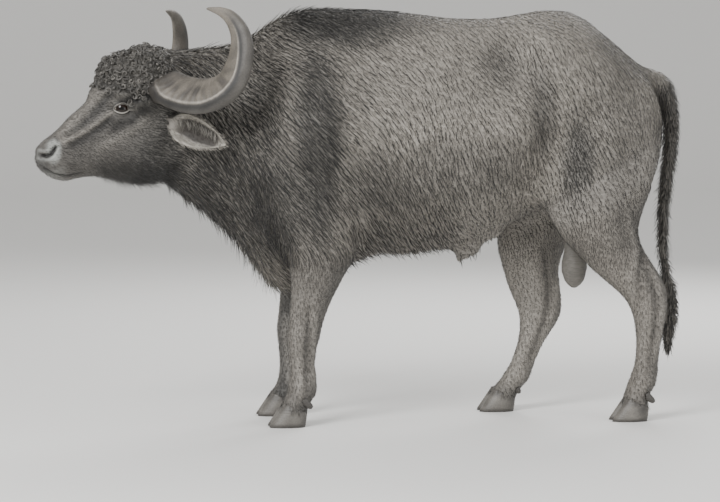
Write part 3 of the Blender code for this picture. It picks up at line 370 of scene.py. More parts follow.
# What each point of the skin belongs to, from 0 to 1, and the coat's depth there.
owners = nearest_nodes(points)
share = {}
for name, parts in (("head", ("head",)), ("neck", ("neck",)), ("torso", ("torso",)), ("tail", ("tail",)),
                    ("legs", FLESH[5:]), ("scrotum", ("scrotum",))):
    share[name] = relax(np.isin(owners, parts).astype(float), edges, 12)
place = in_head(points)
low, high = (np.array(corner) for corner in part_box("scrotum"))
pouch = np.all((points > low - 0.006) & (points < high + 0.006), axis=1) & (points[:, 2] < high[2] - 0.012)
share["scrotum"] = relax(pouch.astype(float), edges, 3)
share["torso"] = share["torso"] * (1 - share["scrotum"])
share["legs"] = share["legs"] * (1 - share["scrotum"])
set_points(skin, points)
normals = normals_of(skin)
edge = np.interp(place[:, 0], *zip(*CROWN_EDGE))
crown = share["head"] * step(place[:, 2] - edge, -0.010, 0.010) * (1 - step(place[:, 0], 0.135, 0.165))
poll = np.array(from_head(0.0, 0.0, 0.10))
for node in ("horn_left", "horn_right"):
    horn_points = np.array([v.co for v in nodes[node].data.vertices])
    nearest = np.linalg.norm(horn_points - poll, axis=1).argsort()[:20]
    away = np.linalg.norm(points - horn_points[nearest].mean(axis=0), axis=1)
    fore = step(place[:, 0], -0.06, -0.02) * step(place[:, 2], 0.075, 0.105)
    crown = np.maximum(crown, (1 - step(away, 0.060, 0.085)) * fore * share["head"])
depth = 0.0015 + by_part(COAT_DEPTH, share) + 0.009 * crown
points = points - normals * depth[:, None]
points = points + np.outer(MUZZLE_RISE * share["head"] * step(place[:, 0], 0.15, 0.27), np.array(head_up))
place = in_head(points)


def eye_axes(side):
    """An eye's centre, where it looks, and the two axes across the opening of its lids."""
    centre = middle("eye_left" if side < 0 else "eye_right")
    look = head_level * EYE_LOOK[0] + head_across * (side * EYE_LOOK[1]) + Vector((0, 0, EYE_LOOK[2]))
    look.normalize()
    ahead = (head_level - look * head_level.dot(look)).normalized()
    above = look.cross(ahead)
    if above.z < 0:
        above = -above
    return centre, look, ahead, above


def eye_opening(directions, look, ahead, above):
    """How far each direction from an eye is out of the lens-shaped opening: below 1 is inside it."""
    front = directions @ np.array(look)
    side = directions @ np.array(ahead)
    over = directions @ np.array(above)
    wide = np.arctan2(side, front) / EYE_WIDE
    high = np.arctan2(over, np.hypot(front, side) * np.sign(front))
    high = np.where(high > 0, high / EYE_UPPER, -high / EYE_LOWER)
    return wide * wide + high


# Lids: the skin is drawn round the ball of each eye, with a raised rim, a crease and a pad above and below.
lid_rim_highlight = np.zeros(len(points))
lid_crease_shade = np.zeros(len(points))
for side in (-1, 1):
    centre, look, ahead, above = eye_axes(side)
    away = points - np.array(centre)
    reach = np.linalg.norm(away, axis=1)
    out = eye_opening(away / reach[:, None], look, ahead, above)
    steps = np.array(LID_PROFILE)
    wanted = EYE_RADIUS + np.interp(out, steps[:, 0], steps[:, 1])
    near = (1 - step(out, 1.8, 2.7)) * (1 - step(reach, 0.046, 0.062)) * (away @ np.array(look) > -0.004)
    points = points + away / reach[:, None] * ((wanted - reach) * near)[:, None]
    within = 1 - step(np.abs(away @ np.array(ahead)) / reach, 0.76, 0.90)
    lid_rim_highlight = np.maximum(lid_rim_highlight, near * within * np.exp(-(((out - 1.12) / 0.12) ** 2)))
    lid_crease_shade = np.maximum(lid_crease_shade, near * np.exp(-(((out - 1.55) / 0.20) ** 2)))
    lid_crease_shade = np.maximum(lid_crease_shade, 0.8 * near * np.exp(-(((out - 0.92) / 0.06) ** 2)))
    points = relax(points, edges, 6, near * step(out, 1.45, 1.9))

# Nostrils, lips and the folds down the face.
beside = step(np.abs(place[:, 1]), 0.012, 0.022)
nostril_away, nostril_at = line_distance(place[:, [0, 2]], NOSTRIL)
near_nose = step(place[:, 0], 0.30, 0.34) * beside * share["head"]
hollow = np.exp(-((nostril_away / (0.0045 + 0.004 * np.sin(math.pi * nostril_at))) ** 2)) * near_nose
nostril_rim = np.exp(-(((nostril_away - 0.014) / 0.006) ** 2)) * near_nose
lip_away, lip_at = line_distance(place[:, [0, 2]], MOUTH)
near_mouth = step(place[:, 0], 0.28, 0.31) * share["head"]
lip_fade = np.clip(lip_at * 6, 0, 1) * (1 - 0.6 * step(lip_at, 0.72, 0.95))
slit = np.exp(-((lip_away / 0.0030) ** 2)) * near_mouth * lip_fade
lips = np.exp(-(((lip_away - 0.010) / 0.006) ** 2)) * near_mouth * lip_fade
push = -0.014 * hollow + 0.0030 * nostril_rim - 0.0065 * slit + 0.0022 * lips
for line, raised, wide, _ in FACE_FORMS:
    away, _ = line_distance(place[:, [0, 2]], line)
    push += raised * np.exp(-((away / wide) ** 2)) * step(np.abs(place[:, 1]), 0.015, 0.03) * share["head"]
for end, side, line, raised, wide, _ in LEG_FORMS:
    push += raised * leg_form(points, normals, end, side, line, wide) * share["legs"]
points = points + normals * push[:, None]
front_at = cad_low[0] + 0.012
points[:, 0] = np.where(points[:, 0] < front_at, front_at + 0.55 * (points[:, 0] - front_at), points[:, 0])
points[:, 0] = np.clip(points[:, 0], cad_low[0] + 0.0004, cad_high[0] - 0.0004)
set_points(skin, points)
skin.data.polygons.foreach_set("use_smooth", [True] * len(skin.data.polygons))


def linear(code):
    """An sRGB hex colour as a linear one."""
    parts = [int(code[i:i + 2], 16) / 255 for i in (1, 3, 5)]
    return tuple(c / 12.92 if c <= 0.04045 else ((c + 0.055) / 1.055) ** 2.4 for c in parts)


def new_material(name):
    """An empty node material with its Principled shader and output."""
    mat = bpy.data.materials.new(name)
    mat.use_nodes = True
    return mat, mat.node_tree.nodes["Principled BSDF"]


def add(mat, kind, settings=None, links=None):
    """Adds a node: settings are its properties or input values, links feed its inputs."""
    node = mat.node_tree.nodes.new(kind)
    for name, value in (settings or {}).items():
        if name in node.inputs.keys() or isinstance(name, int):
            node.inputs[name].default_value = value
        else:
            setattr(node, name, value)
    for name, source in (links or {}).items():
        mat.node_tree.links.new(source, node.inputs[name])
    return node


def link(mat, source, target):
    mat.node_tree.links.new(source, target)


# Markings and painted light, the same on skin and coat: dark neck and crest, partly their darker hair and
# partly painted shade; painted shade low on the flank and belly, in a band behind the shoulder, before the
# thigh, in the flank's hollow and in the thigh's grooves; paler flanks, back and rump; pale skin round the
# nostrils; painted shade in the folds of the face and down the legs, with painted highlights on their
# ridges.
FLANK_GREY = linear("#8c877f")
DEEP_GREY = linear("#484745")
LEG_GREY = linear("#7b766f")
LEG_HIGHLIGHT_GREY = linear("#a09b93")
GROIN_PALE = linear("#7d7973")
FACE_GREY = linear("#56534f")
NOSE_PALE = linear("#9b9d99")
LID_RIM_HIGHLIGHT = linear("#b5b0a8")
PALE = linear("#8f8a82")
DARK = linear("#1c1b1a")
# Zones of darker hair on neck, chest and crest, the crest's partly painted shade, and zones of painted shade
# behind the shoulder, low on the flank and belly, before the thigh, in the flank's hollow and in the thigh's
# grooves.
HAIR_AND_SHADE_ZONES = (  # centre back along the body and up, half width, half height, and how dark
    (-0.190, 0.98, 0.088, 0.38, 0.70),
    (-0.42, 1.10, 0.140, 0.38, 0.48),
    (-0.32, 0.80, 0.160, 0.20, 0.58),
    (0.02, 0.62, 0.300, 0.13, 0.14),
    (0.25, 0.72, 0.260, 0.13, 0.12),
    (0.29, 0.88, 0.250, 0.110, 0.31),
    (0.02, 0.84, 0.150, 0.110, 0.38),
    (-0.10, 1.42, 0.300, 0.115, 0.82),
    (0.45, 1.24, 0.075, 0.080, 0.34),
    (0.585, 1.08, 0.050, 0.170, 0.42),
    (0.715, 0.90, 0.056, 0.180, 0.70),
    (1.030, 0.90, 0.050, 0.160, 0.62),
    (0.86, 1.00, 0.170, 0.220, 0.24),
    (0.90, 1.25, 0.120, 0.120, 0.25),
)


def mix(under, over, amount):
    amount = np.clip(amount, 0, 1)[:, None]
    return under * (1 - amount) + np.array(over) * amount


def hair_darkness_and_shade(points, share):
    """How dark the coat is at each point, from 0 to 1, from its darker hair and from painted shade."""
    x, z = points[:, 0], points[:, 2]
    dark = np.zeros(len(points))
    for back, up, wide, high, amount in HAIR_AND_SHADE_ZONES:
        away = np.hypot((x - back) / wide, (z - up) / high)
        dark = np.maximum(dark, amount * (1 - step(away, 0.45, 1.45)))
    dark = np.maximum(dark, 0.52 * share["neck"]) - 0.22 * share["neck"] * step(z, 1.16, 1.26)
    dark = dark * (1 - share["legs"]) + share["legs"] * 0.16
    dark = dark * (1 - share["head"]) + share["head"] * 0.45
    return np.maximum(dark, 0.55 * share["tail"])


def groin_of(points, share):
    """How much each point is on the barely haired skin of groin and sheath, below the flank's long coat."""
    x, z = points[:, 0], points[:, 2]
    above = z - (0.560 + 0.60 * (x - 0.28))
    return (1 - step(above, -0.015, 0.030)) * step(x, 0.290, 0.345) * share["torso"]


def markings(points, normals, share):
    """The hide's colour at each point, with painted shade and painted highlights in it."""
    x, z = points[:, 0], points[:, 2]
    place = in_head(points)
    colour = np.tile(np.array(FLANK_GREY), (len(points), 1))
    colour = mix(colour, DEEP_GREY, hair_darkness_and_shade(points, share))
    colour = mix(colour, GROIN_PALE, 0.85 * groin_of(points, share))
    colour = mix(colour, LEG_GREY, share["legs"])
    # Painted shade on the inner faces of the front legs, and painted light on the inner faces of the hind
    # legs.
    inward = step(-normals[:, 1] * np.sign(points[:, 1]), -0.1, 0.6) * share["legs"]
    colour = mix(colour, DEEP_GREY, inward * np.where(x < 0.3, 0.85, 0.0))
    colour = mix(colour, LEG_HIGHLIGHT_GREY, inward * np.where(x < 0.3, 0.0, 0.40))
    colour = mix(colour, DEEP_GREY, 0.25 * share["legs"] * (x < 0.3))
    # Painted shade down the back of each leg, on the faces that look backwards.
    colour = mix(colour, DEEP_GREY, 0.55 * step(normals[:, 0], -0.1, 0.7) * share["legs"])
    colour = mix(colour, DEEP_GREY, 0.45 * (1 - step(z, 0.05, 0.13)) * share["legs"])
    # Painted shade in the legs' grooves, and painted highlights on their ridges, knee and fronts.
    for end, side, line, _, wide, shade in LEG_FORMS:
        amount = abs(shade) * leg_form(points, normals, end, side, line, wide * 1.1) * share["legs"]
        colour = mix(colour, DARK if shade < 0 else LEG_HIGHLIGHT_GREY, amount)
    # The scrotum's own dark grey, with painted shade over its rear side.
    colour = mix(colour, DEEP_GREY, share["scrotum"] * (0.60 + 0.40 * step(x, 0.775, 0.83)))
    face = share["head"] * step(place[:, 0], 0.02, 0.12)
    colour = mix(colour, FACE_GREY, face)
    cheek = share["head"] * (1 - step(place[:, 0] + 0.9 * (place[:, 2] + 0.05), 0.02, 0.20))
    colour = mix(colour, DEEP_GREY, 0.60 * cheek)
    # Darker front of the muzzle: the bare nose pad's own dark grey, deepened by painted shade along its
    # front.
    colour = mix(colour, DEEP_GREY, 0.80 * share["head"] * step(place[:, 0], 0.392, 0.422))
    up = place[:, 2] - 0.046
    nose_away = np.hypot((place[:, 0] - 0.372 + 0.35 * up) / 0.024, up / 0.038)
    side_of_nose = step(np.abs(place[:, 1]), 0.014, 0.034)
    nose = (1 - step(nose_away, 0.55, 1.35)) * side_of_nose * share["head"]
    colour = mix(colour, NOSE_PALE, nose * 0.75)
    chin = step(place[:, 0], 0.34, 0.40) * (1 - step(place[:, 2], -0.02, 0.0))
    colour = mix(colour, NOSE_PALE, 0.25 * chin * share["head"])
    eye_away = np.hypot(place[:, 0] - EYE_ALONG, place[:, 2] - EYE_UP)
    colour = mix(colour, DARK, 0.35 * np.exp(-((eye_away / 0.055) ** 2)) * share["head"])
    # Painted shade in the face's folds and hollows, and painted highlights along its ridges.
    for line, _, wide, shade in FACE_FORMS:
        away, _ = line_distance(place[:, [0, 2]], line)
        amount = 1.25 * abs(shade) * np.exp(-((away / (wide * 1.15)) ** 2)) * share["head"]
        colour = mix(colour, DARK if shade < 0 else PALE, amount)
    return colour


def paint(obj, colours):
    """Stores a colour for each point of the mesh."""
    attribute = obj.data.color_attributes.new("tone", "FLOAT_COLOR", "POINT")
    values = np.ones((len(colours), 4), np.float32)
    values[:, :3] = colours
    attribute.data.foreach_set("color", values.ravel())


tone = markings(points, normals_of(skin), share)
# Painted shade on the skin under the crown's curls, so the gaps between them look dark.
tone = mix(tone, DARK, 0.50 * crown)
# Painted shade in the lids' creases and round the inner edge of each opening.
tone = mix(tone, DARK, 0.85 * lid_crease_shade)
# Painted highlight along the raised rims of the lids.
tone = mix(tone, LID_RIM_HIGHLIGHT, 0.62 * lid_rim_highlight)
# Painted shade in the nostrils and in the slit of the mouth.
tone = mix(tone, DARK, 0.9 * np.clip(hollow * 1.4 + slit, 0, 1))
tone = mix(tone, NOSE_PALE, 0.35 * nostril_rim * (1 - hollow))
paint(skin, tone)

# Thick hide with flat short hair, so its bump is streaks along the lie of the coat over fine grain.
HAIR_WIDTH = 0.0030  # real hairs are finer, and this is as coarse as the picture needs to show them
CLOUD_WIDTH = 0.5 / 9.0
hide, shader = new_material("short_haired_hide")
place_node = add(hide, "ShaderNodeTexCoord")
turned = add(hide, "ShaderNodeMapping", {"Rotation": (0, math.radians(-58), 0), "Scale": (0.12, 0.7, 1.0)},
             {"Vector": place_node.outputs["Object"]})
streaks = add(hide, "ShaderNodeTexNoise", {"Scale": 0.5 / HAIR_WIDTH, "Detail": 4.0, "Roughness": 0.6},
              {"Vector": turned.outputs["Vector"]})
patches = add(hide, "ShaderNodeTexNoise", {"Scale": 0.5 / CLOUD_WIDTH, "Detail": 3.0},
              {"Vector": place_node.outputs["Object"]})
attribute = add(hide, "ShaderNodeAttribute", {"attribute_name": "tone"})
uneven = add(hide, "ShaderNodeMapRange",
             {"From Min": 0.25, "From Max": 0.75, "To Min": 0.72, "To Max": 1.28},
             {"Value": streaks.outputs["Fac"]})
cloudy = add(hide, "ShaderNodeMapRange",
             {"From Min": 0.3, "From Max": 0.7, "To Min": 0.85, "To Max": 1.15},
             {"Value": patches.outputs["Fac"]})
both = add(hide, "ShaderNodeMath", {"operation": "MULTIPLY"},
           {0: uneven.outputs["Result"], 1: cloudy.outputs["Result"]})
coloured = add(hide, "ShaderNodeVectorMath", {"operation": "SCALE"},
               {"Vector": attribute.outputs["Color"], "Scale": both.outputs["Value"]})
link(hide, coloured.outputs["Vector"], shader.inputs["Base Color"])
bump = add(hide, "ShaderNodeBump", {"Strength": 0.55, "Distance": 0.003},
           {"Height": streaks.outputs["Fac"]})
link(hide, bump.outputs["Normal"], shader.inputs["Normal"])
shader.inputs["Roughness"].default_value = 0.62
shader.inputs["IOR"].default_value = 1.45
skin.data.materials.append(hide)
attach(skin, "root")
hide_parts(*FLESH)

# Unwrap of the skin's own shape, which the coat's tufts borrow.
bpy.context.view_layer.objects.active = skin
skin.select_set(True)
bpy.ops.object.mode_set(mode="EDIT")
bpy.ops.mesh.select_all(action="SELECT")
bpy.ops.uv.smart_project(angle_limit=math.radians(66), island_margin=0.002)
bpy.ops.object.mode_set(mode="OBJECT")
skin.data.uv_layers[0].name = "OFBake"


# Coat
# Coarse guard hair in small tufts over the hide: long and shaggy on neck, shoulder, chest and belly, short
# and flat behind, on the legs and on the face. Each tuft is a thin solid that leaves the skin at a slant and
# bends with the lie.
TUFT_STATIONS = {"long": (0.0, 0.30, 0.66, 1.0), "short": (0.0, 0.42, 1.0)}
PATCH = 0.003  # width of a tuft's patch on the unwrap
TUFT_LENGTH = {"torso": 0.022, "neck": 0.028, "legs": 0.012, "head": 0.0085, "tail": 0.028}
TUFT_LIFT = {"torso": 0.0024, "neck": 0.0034, "legs": 0.0016, "head": 0.0010, "tail": 0.004}
TUFT_WIDTH = {"torso": 0.0046, "neck": 0.0052, "legs": 0.0032, "head": 0.0022, "tail": 0.0034}
TUFTS_PER_M2 = {"torso": 11500, "neck": 11500, "legs": 14000, "head": 23000, "tail": 14000}
TOP_LENGTH = {"torso": 0.034, "neck": 0.050, "legs": 0.015, "head": 0.011, "tail": 0.032}
TOP_WIDTH = {"torso": 0.0029, "neck": 0.0031, "legs": 0.0019, "head": 0.0015, "tail": 0.0028}
TOP_GAP = {"torso": 0.0150, "neck": 0.0150, "legs": 0.0072, "head": 0.0062, "tail": 0.0065}
coat_hair, shader = new_material("coarse_guard_hair")
attribute = add(coat_hair, "ShaderNodeAttribute", {"attribute_name": "tone"})
link(coat_hair, attribute.outputs["Color"], shader.inputs["Base Color"])
shader.inputs["Roughness"].default_value = 0.50
shader.inputs["IOR"].default_value = 1.55


def unit(vectors):
    return vectors / np.maximum(np.linalg.norm(vectors, axis=-1, keepdims=True), 1e-9)


def strand_mesh(name, paths, side, widths, heights, tones, patches, corners=3):
    """Joined thin solids. Each is rings along its path, drawn together at the path's last point."""
    count, stations = paths.shape[:2]
    rings = stations - 1
    ahead = unit(np.gradient(paths, axis=1))
    side = unit(side - ahead * (side * ahead).sum(axis=2, keepdims=True))
    above = np.cross(ahead, side)
    angles = 2 * math.pi * (np.arange(corners) + 0.25 * (corners == 3)) / corners
    across = side[:, :rings, None] * (np.cos(angles)[:, None] * widths[:, :rings, None, None] / 2)
    over = above[:, :rings, None] * (np.sin(angles)[:, None] * heights[:, :rings, None, None] / 2)
    ring_points = (paths[:, :rings, None] + across + over).reshape(count, rings * corners, 3)
    points = np.concatenate([ring_points, paths[:, -1:]], axis=1)
    points[..., 0] = np.clip(points[..., 0], cad_low[0] + 0.0004, cad_high[0] - 0.0004)
    points[..., 2] = np.clip(points[..., 2], 0.0002, cad_high[2] - 0.0004)
    each = rings * corners + 1
    k, j = np.meshgrid(np.arange(rings - 1), np.arange(corners), indexing="ij")
    after = (j + 1) % corners
    low, high = k * corners, (k + 1) * corners
    walls = np.stack([low + j, low + after, high + after, high + j], -1)
    last = (rings - 1) * corners
    j = np.arange(corners)
    tips = np.stack([last + j, last + (j + 1) % corners, np.full(corners, each - 1)], -1)
    loops = np.concatenate([walls.reshape(-1), tips.reshape(-1), np.arange(corners)[::-1]])
    sizes = np.concatenate([np.full(walls.size // 4, 4), np.full(corners, 3), [corners]])
    starts = np.concatenate([[0], np.cumsum(sizes)[:-1]])
    all_loops = (loops[None] + np.arange(count)[:, None] * each).ravel()
    all_starts = (starts[None] + np.arange(count)[:, None] * len(loops)).ravel()
    mesh = bpy.data.meshes.new(name)
    mesh.vertices.add(count * each)
    mesh.vertices.foreach_set("co", points.ravel())
    mesh.loops.add(len(all_loops))
    mesh.loops.foreach_set("vertex_index", all_loops.astype(np.int32))
    mesh.polygons.add(len(all_starts))
    mesh.polygons.foreach_set("loop_start", all_starts.astype(np.int32))
    mesh.update(calc_edges=True)
    shades = np.concatenate([np.repeat(np.arange(rings) / rings, corners), [1.0]])
    shades = 0.62 + 0.55 * shades
    obj = bpy.data.objects.new(name, mesh)
    scene.collection.objects.link(obj)
    paint(obj, (tones[:, None] * shades[None, :, None]).reshape(-1, 3))
    layer = mesh.uv_layers.new(name="OFBake")
    spot = np.concatenate([np.stack([np.repeat(np.arange(rings) / rings, corners),
                                     np.tile(np.arange(corners) / corners, rings)], -1), [[1.0, 0.5]]])
    flat = patches[:, None] + (spot[None] - 0.5) * PATCH
    layer.data.foreach_set("uv", flat.reshape(-1, 2)[all_loops].ravel())
    mesh.polygons.foreach_set("use_smooth", [True] * len(mesh.polygons))
    mesh.materials.append(coat_hair)
    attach(obj, "root")
    return obj


def sample(obj, density, seed):
    """Random places on obj's skin: triangle corners, their shares, and the place on its unwrap."""
    mesh = obj.data
    mesh.calc_loop_triangles()
    corners = np.empty(len(mesh.loop_triangles) * 3, np.int64)
    mesh.loop_triangles.foreach_get("vertices", corners)
    loops = np.empty(len(mesh.loop_triangles) * 3, np.int64)
    mesh.loop_triangles.foreach_get("loops", loops)
    corners, loops = corners.reshape(-1, 3), loops.reshape(-1, 3)
    flat = np.empty(len(mesh.loops) * 2)
    mesh.uv_layers["OFBake"].data.foreach_get("uv", flat)
    points = points_of(obj)
    a, b, c = points[corners[:, 0]], points[corners[:, 1]], points[corners[:, 2]]
    area = np.linalg.norm(np.cross(b - a, c - a), axis=1) / 2
    expected = np.cumsum(area * density[corners].mean(axis=1))
    draw = np.random.default_rng(seed)
    count = int(expected[-1])
    picks = np.searchsorted(expected, (np.arange(count) + draw.random(count)) / count * expected[-1])
    picks = np.minimum(picks, len(corners) - 1)
    u, v = draw.random(count), draw.random(count)
    over = u + v > 1
    u[over], v[over] = 1 - u[over], 1 - v[over]
    weights = np.stack([1 - u - v, u, v], 1)
    place = (flat.reshape(-1, 2)[loops[picks]] * weights[..., None]).sum(axis=1)
    return corners[picks], weights, place


def ripple(points, size, seed):
    """A smooth wandering value between about -1 and 1."""
    draw = np.random.default_rng(seed)
    total = np.zeros(len(points))
    for _ in range(5):
        way = unit(draw.normal(size=3)) * 2 * math.pi / (size * draw.uniform(0.7, 1.5))
        total += np.sin(points @ way + draw.uniform(0, 6.28))
    return total / 2.5


HAIR_DARK = linear("#232221")
CURL_GREY = linear("#6b6863")


def skin_spot(obj, part):
    """A place on the unwrap in the middle of one part of the skin."""
    loops = np.empty(len(obj.data.loops), np.int64)
    obj.data.loops.foreach_get("vertex_index", loops)
    flat = np.empty(len(loops) * 2)
    obj.data.uv_layers["OFBake"].data.foreach_get("uv", flat)
    inside = np.nonzero(share[part][loops] > 0.9)[0]
    return flat.reshape(-1, 2)[inside[len(inside) // 2]]


def lie_of_coat(points, normals, share):
    """The way the hair points: back and down on the trunk, down the legs, back over the face."""
    place = in_head(points)
    way = np.zeros_like(points)
    for name, lie in (("torso", (0.34, 0, -0.94)), ("neck", (0.66, 0, -0.75)), ("legs", (0.10, 0, -1)),
                      ("tail", (0.03, 0, -1)), ("scrotum", (0, 0, -1))):
        way += share[name][:, None] * np.array(lie)
    slant = share["torso"] * (1 - step(points[:, 0], -0.20, 0.25))
    way += slant[:, None] * np.array((0.40, 0, 0.16))
    face = -np.array(head_down) * 0.8 + np.array((0, 0, -0.55))
    way += share["head"][:, None] * face
    rump = step(points[:, 0], 0.80, 1.05) * share["torso"]
    way += rump[:, None] * np.array((-0.35, 0, -0.5))
    way = unit(way - normals * (way * normals).sum(axis=1, keepdims=True))
    turn = 0.13 * ripple(points, 0.25, 3) + 0.05 * ripple(points, 0.06, 4)
    return way * np.cos(turn)[:, None] + np.cross(normals, way) * np.sin(turn)[:, None]


def blend(values, corners, weights):
    """The value at each drawn place from those at its triangle's corners."""
    if values.ndim == 1:
        return (values[corners] * weights).sum(axis=1)
    return (values[corners] * weights[..., None]).sum(axis=1)


def spaced(points, gaps, seed):
    """Indices of points that stay clear of each other by each one's own gap."""
    tree = KDTree(len(points))
    for i, point in enumerate(points):
        tree.insert(point, i)
    tree.balance()
    free = np.ones(len(points), bool)
    kept = []
    for i in np.random.default_rng(seed).permutation(len(points)):
        if free[i]:
            kept.append(i)
            for _, j, _ in tree.find_range(points[i], gaps[i]):
                free[j] = False
    return np.array(kept)


def grow(obj, parts, lie, density, tone, seed, length, width, lift, stand=0.0, spread=0.10, bend=0.06,
         form="short", gap=None, shades=(0.80, 1.25), contrast=1.0):
    """Grows tufts over obj, and makes one object of each part. Sizes are numbers or one for each point."""
    corners, weights, patches = sample(obj, density, seed)
    points = points_of(obj)
    if gap is not None:
        kept = spaced(blend(points, corners, weights), blend(gap, corners, weights), seed)
        corners, weights, patches = corners[kept], weights[kept], patches[kept]
    draw = np.random.default_rng(seed + 1)
    length, width, lift, stand, contrast = (blend(np.broadcast_to(values, len(points)), corners, weights)
                                            for values in (length, width, lift, stand, contrast))
    root = blend(points, corners, weights)
    normal = unit(blend(normals_of(obj), corners, weights))
    way = unit(blend(lie, corners, weights))
    turn = draw.normal(0, spread, len(root))[:, None]
    way = unit(way * np.cos(turn) + np.cross(normal, way) * np.sin(turn))
    long = length * draw.uniform(0.7, 1.25, len(root))
    wide = width * draw.uniform(0.8, 1.2, len(root))
    high = lift * draw.uniform(0.5, 1.5, len(root))
    out = stand * draw.uniform(0.3, 1.3, len(root))
    shade = 1 + (draw.uniform(*shades, len(root)) - 1) * contrast
    colour = blend(tone, corners, weights) * shade[:, None]
    at = np.array(TUFT_STATIONS[form])
    rise = np.interp(at, (0, 0.3, 0.66, 1.0), (0.0, 0.85, 1.0, 0.75))
    taper = np.interp(at, (0, 0.3, 0.66, 1.0), (0.75, 1.0, 0.72, 0.0))
    for name, chosen in parts(root, corners, weights).items():
        here = np.nonzero(chosen)[0]
        if not len(here):
            continue
        sideways = np.cross(normal[here], way[here])
        curve = (draw.normal(0, bend, len(here)) * long[here])[:, None] * at**2
        up = high[here, None] * rise + out[here, None] * at**1.5 - 0.0012 * (at == 0)
        paths = root[here, None] + way[here, None] * (long[here, None] * at)[..., None]
        paths = paths + sideways[:, None] * curve[..., None] + normal[here, None] * up[..., None]
        widths = wide[here, None] * taper
        side = np.broadcast_to(sideways[:, None], paths.shape)
        strand_mesh(name, paths, side, widths, widths * 0.5, colour[here], patches[here])


points = points_of(skin)
normals = normals_of(skin)
edges = edges_of(skin)
place = in_head(points)
lie = lie_of_coat(points, normals, share)
x, z = points[:, 0], points[:, 2]
front = 1 - step(x + 0.25 * (z - 0.9), -0.10, 0.22)
shaggy = np.clip(share["neck"] + share["torso"] * front, 0, 1)
under = step(-normals[:, 2], 0.15, 0.8) * (share["neck"] + share["torso"]) * step(z, 0.38, 0.45)
under *= 1 - step(x, 0.25, 0.36)
groin = groin_of(points, share)
under *= 1 - groin
crest = step(normals[:, 2], 0.35, 0.85) * share["neck"]
low_leg = share["legs"] * (1 - step(z, 0.42, 0.60))
breast = step(-normals[:, 0], 0.35, 0.85) * shaggy * (1 - step(z, 0.80, 1.0))
ridge = step(normals[:, 2], 0.45, 0.9) * shaggy
muzzle = share["head"] * step(place[:, 0], 0.32, 0.38)
jowl = share["head"] * (1 - step(place[:, 0] + 0.8 * (place[:, 2] + 0.05), 0.02, 0.14)) * (1 - crown)
jaw = share["head"] * step(-normals[:, 2], 0.1, 0.7) * (1 - step(place[:, 0], 0.22, 0.30))
eye_away = np.hypot(place[:, 0] - EYE_ALONG, place[:, 2] - EYE_UP)
bare = np.clip((1 - step(eye_away, 0.030, 0.046)) * share["head"], 0, 1)
hem = share["legs"] * (1 - step(z, 0.070, 0.095))
shown = (1 - 0.5 * share["scrotum"]) * (1 - 0.97 * bare) * (1 - 0.85 * muzzle)
shown_top = shown * (1 - 0.85 * groin)
length = by_part(TUFT_LENGTH, share) + 0.012 * (shaggy + hem - groin) + 0.010 * (jowl + crown)
lift = by_part(TUFT_LIFT, share) + 0.0010 * (shaggy + jowl) + 0.002 * hem
width = by_part(TUFT_WIDTH, share) + 0.0010 * jowl
density = (by_part(TUFTS_PER_M2, share) - 7000 * jowl) * shown * (1 - 0.5 * crown)
stand = 0.012 * under + 0.008 * breast + 0.006 * ridge + 0.010 * jaw + 0.007 * share["tail"] + 0.004 * crest
contrast = 1 - 0.72 * low_leg

# The long dark hairs over it: how long, and how far apart. They stand closer and thicker where the coat is
# darker, on its darker hair and also in the zones of painted shade.
dark = hair_darkness_and_shade(points, share)
body = share["torso"] + share["neck"]
top_length = by_part(TOP_LENGTH, share) + 0.020 * shaggy + 0.012 * jowl + 0.008 * hem + 0.016 * jaw
top_width = by_part(TOP_WIDTH, share) + 0.0008 * jowl
gap = by_part(TOP_GAP, share) - 0.0085 * dark * body + 0.0008 * jowl + 0.0060 * low_leg
gap *= 1 - 0.25 * np.clip(under + ridge + breast + 1.4 * jaw, 0, 1.4)
top_stand = 0.026 * under + 0.022 * breast + 0.010 * (ridge + crest)
top_stand += 0.028 * jaw + 0.018 * share["tail"] + 0.003 * hem
top_tone = mix(np.tile(np.array(HAIR_DARK), (len(points), 1)), DEEP_GREY, 0.75 * low_leg)
top_density = 42000 * body * (0.4 + 0.6 * dark) * shown_top
top_density += (52000 * share["legs"] + 70000 * share["head"] * (1 - crown) + 60000 * share["tail"]) * shown


def coat_parts(root, corners, weights):
    """Which tufts belong to which piece of the coat, by part of the body."""
    shares = {name: blend(values, corners, weights) for name, values in share.items()}
    owner = np.array(list(shares))[np.argmax(np.stack(list(shares.values())), axis=0)]
    parts = {"coat_head": owner == "head", "coat_tail": owner == "tail"}
    for side_name, on_side in (("left", root[:, 1] < 0), ("right", root[:, 1] >= 0)):
        parts[f"coat_neck_{side_name}"] = (owner == "neck") & on_side
    legs = owner == "legs"
    parts["coat_legs_front"] = legs & (root[:, 0] < 0.3)
    parts["coat_legs_hind"] = legs & (root[:, 0] >= 0.3)
    trunk = owner == "torso"
    for side_name, on_side in (("left", root[:, 1] < 0), ("right", root[:, 1] >= 0)):
        parts[f"coat_shoulder_{side_name}"] = trunk & on_side & (root[:, 0] < 0.12)
        parts[f"coat_flank_{side_name}"] = trunk & on_side & (root[:, 0] >= 0.12) & (root[:, 0] < 0.58)
        parts[f"coat_rump_{side_name}"] = trunk & on_side & (root[:, 0] >= 0.58)
    return parts


def top_parts(root, corners, weights):
    parts = coat_parts(root, corners, weights)
    return {name.replace("coat", "top_coat"): chosen for name, chosen in parts.items()}


grow(skin, coat_parts, lie, density, tone, 11, length, width, lift, stand,
     shades=(0.70, 1.40), contrast=contrast)
grow(skin, top_parts, lie, top_density, top_tone, 13, top_length, top_width, lift + 0.0012, top_stand,
     spread=0.07, bend=0.05, form="long", gap=gap, shades=(0.7, 1.9))


# Crown
# Tight woolly curls over the poll and forehead, down over the roots of the horns. Each is a lock of thin
# strands that wind round together into one tilted whorl, raised in the middle, and overlaps its neighbours.
CURL_GAP = 0.0150
CURL_RADIUS = 0.0180
CURL_TURNS = 1.05
CURL_STRANDS = 9
CURL_TALL = (0.010, 0.018)
STRAND_WIDTH = 0.0028

